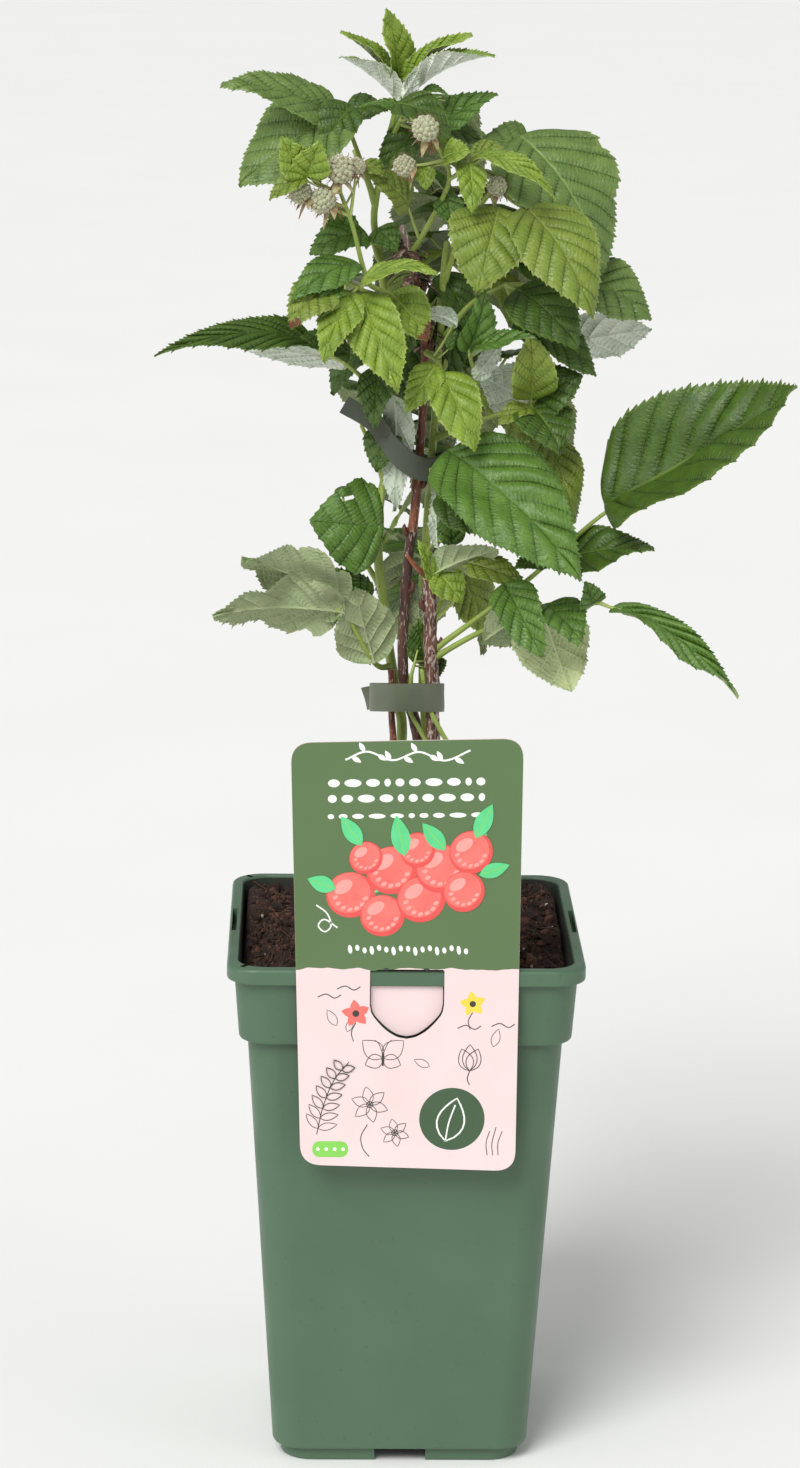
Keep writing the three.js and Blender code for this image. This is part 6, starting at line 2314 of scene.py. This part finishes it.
    def close(
        self, skin: Skin, top: Array, under: Array, marks: Array, solid: Array, veins: Array
    ) -> None:
        """Adds both faces where the blade is solid, and the walls along their edges.

        Args:
            skin: The skin that it goes in.
            top: The upper face's grid of points.
            under: The lower one.
            marks: The finishes of each face's cells.
            solid: Whether each cell is there.
            veins: Where each point lies among the veins.
        """
        rows, columns = top.shape[:2]
        number = np.arange(rows * columns).reshape(rows, columns)
        total = rows * columns
        a, b, c, d = number[:-1, :-1], number[:-1, 1:], number[1:, 1:], number[1:, :-1]
        upper = np.stack([a, b, c, d], -1)[solid]
        padded = np.pad(solid, 1)
        walls = []
        for start, end, beyond in (
            (a, b, padded[:-2, 1:-1]), (b, c, padded[1:-1, 2:]),
            (c, d, padded[2:, 1:-1]), (d, a, padded[1:-1, :-2]),
        ):
            edge = solid & ~beyond
            walls.append(np.stack([start[edge], start[edge] + total, end[edge] + total, end[edge]], 1))
        rim = np.concatenate(walls)
        faces = np.concatenate([upper, upper[:, ::-1] + total, rim])
        finish = np.concatenate([marks[0][solid], marks[1][solid], np.zeros(len(rim), int)])
        skin.add(np.concatenate([top.reshape(-1, 3), under.reshape(-1, 3)]), faces, finish, veins)


@dataclass
class Foliage:
    """All shoots with their stalks, leaves and fruit, joined by kind and tint."""

    leaves: dict[str, Skin] = field(default_factory=dict)
    nodes: dict[str, set[str]] = field(default_factory=dict)
    stems: Skin = field(default_factory=Skin)
    fruit: Skin = field(default_factory=Skin)
    count: int = 0

    STALK = 0.9  # radii of stalks, fruit stalks and shoots, in millimetres
    FRUIT_STALK = 0.75
    SHOOT = 1.5
    TAPER = 0.62
    SWELLING = (-0.5, 0.35, 0.25, 0.1)  # where a shoot leaves its cane
    PAIR_PLACE = 0.55
    SUNK = 0.07  # how far along and under its blade a stalk ends
    UNDER = 0.7
    DRUPELETS = 64
    GOLDEN_TURN = 2.399963
    SEPALS = 5
    STYLES = 14

    def add_blade(self, mass: str, leaf: Leaf, foot: Array, lie: Lie) -> Array:
        """Adds one blade to the skin of its tint, and returns a point just inside it.

        Args:
            mass: The name of its mass.
            leaf: The leaf.
            foot: Where the blade starts.
            lie: How it lies.

        Returns:
            The point where its stalk ends.
        """
        self.count += 1
        blade = Blade(leaf, foot, lie, self.count)
        blade.add_to(self.leaves.setdefault(leaf.tint, Skin()))
        self.nodes.setdefault(leaf.tint, set()).add(mass)
        along, _, face = blade.frame()
        share, long = self.SUNK, lie[2]
        bow = 4 * share * (1 - share) * leaf.arch * long
        return foot + along * share * long + face * (bow - self.UNDER)

    def stalk(self, start: Array, end: Array, radius: float) -> None:
        """Adds a thin stalk that sags a little between two points.

        Args:
            start: Its foot.
            end: Its end.
            radius: Its radius.
        """
        long = float(np.linalg.norm(end - start))
        middle = (start + end) / 2 + [0, 0, -0.03 * long]
        path = smooth_path([start, middle, end], max(long / 8, 0.8))
        radii = np.linspace(radius * 1.2, radius * 0.65, len(path))
        self.stems.tube(path, radii, 8)

    def add_shoot(self, mass: str, shoot: Shoot) -> None:
        """Adds one mass: its shoot, stalks, leaves and fruit.

        Args:
            mass: The mass's name.
            shoot: The shoot.
        """
        path = smooth_path(shoot.corners(), 2)
        radii = np.linspace(self.SHOOT, self.SHOOT * self.TAPER, len(path))
        swollen = min(len(self.SWELLING), len(path))
        radii[:swollen] += self.SWELLING[:swollen]
        radii *= shoot.slim
        self.stems.tube(path, radii, 12, 1)
        for leaf in shoot.leaves:
            start = shoot.along(leaf.at)
            foot = start + aim(*leaf.stalk[:2]) * leaf.stalk[2]
            end = self.add_blade(mass, leaf, foot, leaf.blade)
            self.stalk(start, end, min(self.STALK, 0.3 + leaf.blade[2] / 60))
            node = start + (foot - start) * self.PAIR_PLACE
            for lie in leaf.pair:
                self.add_blade(mass, leaf, node, lie)
        for berry in shoot.berries:
            start = shoot.along(berry.at)
            middle = start + aim(*berry.stalk[:2]) * berry.stalk[2]
            self.stalk(start, middle, self.FRUIT_STALK)
            self.add_berry(middle, unit(middle - start), berry.radius)

    def add_berry(self, middle: Array, way: Array, radius: float) -> None:
        """Adds a fruit of many drupelets with its sepals and withered styles.

        Args:
            middle: Its middle.
            way: The way its tip points.
            radius: Its radius.
        """
        draw = np.random.default_rng(int(abs(middle[2]) * 10))
        ball, sides = ball_mesh()
        side = unit(np.cross(way, [0.3, 0.2, 1.0]))
        other = np.cross(way, side)
        for k in range(self.DRUPELETS):
            height = 1 - 2 * (k + 0.5) / self.DRUPELETS
            turn, ring = self.GOLDEN_TURN * k, math.sqrt(1 - height * height)
            out = way * height + side * ring * math.cos(turn) + other * ring * math.sin(turn)
            size = radius * 0.21 * draw.uniform(0.85, 1.15)
            spot = middle + out * radius * draw.uniform(0.78, 0.84)
            self.fruit.add(ball * size + spot, sides, 0)
            if height > -0.5:
                tip = unit(out + 0.5 * unit(draw.normal(size=3))) * radius * 0.3
                path = np.array([spot + out * size * 0.8, spot + out * size * 1.4, spot + out * size + tip])
                self.fruit.tube(path, (0.16, 0.13, 0.07), 4, 1)
        self.fruit.add(ball * radius * 0.87 + middle, sides, 0)
        base = middle - way * radius * 0.85
        for k in range(self.SEPALS):
            turn = 2 * np.pi * k / self.SEPALS + 0.4
            out = unit(side * math.cos(turn) + other * math.sin(turn) + way * 0.45)
            dried_strip(self.fruit, base, out, radius * 1.25, 2, 0.6)
        for _ in range(self.STYLES):
            out = unit(draw.normal(size=3) + way * 0.3)
            dried_strip(self.fruit, base + out * radius * 0.25, out, radius * 0.75, 1, 0.16)

    def build(self) -> list[Piece]:
        """Makes the joined pieces: leaves of each tint, stems and fruit.

        Returns:
            The pieces.
        """
        made = []
        for name, skin in self.leaves.items():
            kinds, nodes = Tint[name.upper()].finishes, sorted(self.nodes[name])
            made.append(skin.build(f"leaves_{name}", kinds, "foliage", nodes, 60))
        kinds = [STALK_SKIN, GREEN_CANE]
        made.append(self.stems.build("leaf_stalks_and_shoots", kinds, "green_stem", (), 60))
        kinds = [UNRIPE_FRUIT, DRY_STYLE, SEPAL]
        made.append(self.fruit.build("unripe_fruit", kinds, "foliage", (), 60))
        return made


# ---------- studio


@dataclass(frozen=True)
class Studio:
    """The camera, soft lights and pale floor.

    Angles are in degrees. The camera's lengths are in millimetres, its lens is for a 36 mm long
    side, and the floor and the lights are in metres.
    """

    lens: float = 101.28
    distance: float = 2000
    elevation: float = 13.68
    yaw: float = -1.293
    roll: float = 0.708
    target: Point = (-2.9, 0, 352.6)
    floor_half: float = 60
    sky: float = 0.42

    def camera(self) -> None:
        """Makes the camera and gives it to the scene."""
        yaw, lift, roll = (math.radians(a) for a in (self.yaw, self.elevation, self.roll))
        back = Vector((math.sin(yaw) * math.cos(lift), -math.cos(yaw) * math.cos(lift), math.sin(lift)))
        right = (-back).cross(Vector((0, 0, 1))).normalized()
        up = right.cross(-back)
        turned_right = right * math.cos(roll) + up * math.sin(roll)
        turned_up = up * math.cos(roll) - right * math.sin(roll)
        data = bpy.data.cameras.new("camera")
        data.sensor_width, data.lens = 36, self.lens
        data.clip_start, data.clip_end = 0.05, 50
        made = linked("camera", data)
        place_at = (Vector(self.target) + back * self.distance) * MM
        basis = Matrix((turned_right, turned_up, back)).transposed().to_4x4()
        made.matrix_world = Matrix.Translation(place_at) @ basis
        bpy.context.scene.camera = made

    def lamp(self, name: str, kind: str, way: Vector, power: float) -> Piece:
        """A light of one kind that shines one way.

        Args:
            name: Its name.
            kind: AREA or SUN.
            way: The way it shines.
            power: Its strength.

        Returns:
            The light's object.
        """
        made = linked(name, bpy.data.lights.new(name, kind))
        made.data.energy = power
        made.rotation_mode = "QUATERNION"
        made.rotation_quaternion = way.to_track_quat("-Z", "Y")
        return made

    def light(self, name: str, place_at: Point, aim_at: Point, size: float, power: float) -> None:
        """Adds one square soft light that faces a point, in metres and watts.

        Args:
            name: Its name.
            place_at: Where it stands.
            aim_at: What it faces.
            size: Its side.
            power: Its power.
        """
        made = self.lamp(name, "AREA", Vector(aim_at) - Vector(place_at), power)
        made.location = place_at
        made.data.shape, made.data.size = "SQUARE", size

    def sun(self, heading: float, rise: float, strength: float, spread: float) -> None:
        """Adds a broad even light from a heading and a rise, as a very large far softbox."""
        made = self.lamp("key_sky_panel", "SUN", Vector(-aim(heading, rise)), strength)
        made.data.angle = math.radians(spread)

    def build(self) -> None:
        """Sets the studio up round the plant."""
        self.camera()
        self.sun(-28, 46, 2.4, 30)
        self.light("softbox_left", (-16, -7, 4.7), (0, 0, 0.3), 9, 600)
        self.light("softbox_right", (16, -9, 4.7), (0, 0, 0.3), 9, 500)
        world = bpy.data.worlds.new("white_surround")
        world.use_nodes = True
        shade = world.node_tree.nodes["Background"]
        shade.inputs["Color"].default_value = (1, 1, 1, 1)
        shade.inputs["Strength"].default_value = self.sky
        scene = bpy.context.scene
        scene.world, scene.view_settings.view_transform = world, "Standard"
        mesh = bpy.data.meshes.new("studio_floor")
        half = self.floor_half
        mesh.from_pydata(box_rings((-half, -half, 0), (half, half, 0))[0], [], [(0, 1, 2, 3)])
        mesh.materials.append(FLOOR.material())
        linked("studio_floor", mesh)


# ---------- assembly


def main() -> None:
    """Builds the plant, its pot and the studio."""
    logging.basicConfig(level=logging.INFO, format="%(name)s: %(message)s")
    pot = SquarePot()
    pot.build()
    PottingMix(pot).build()
    CardLabel(pot).build()
    for tie in TIES:
        tie.build()
    for cane in CANES.values():
        cane.build()
    foliage = Foliage()
    for mass, shoot in FRONT_MASSES.items():
        foliage.add_shoot(f"leaves_{mass}", shoot)
    back = BackShoots()
    for index in range(len(back.shoots)):
        foliage.add_shoot(f"leaves_back_{index + 1}", back.shoot(index))
    foliage.build()
    Studio().build()
    bpy.context.view_layer.update()


if __name__ == "__main__":
    main()
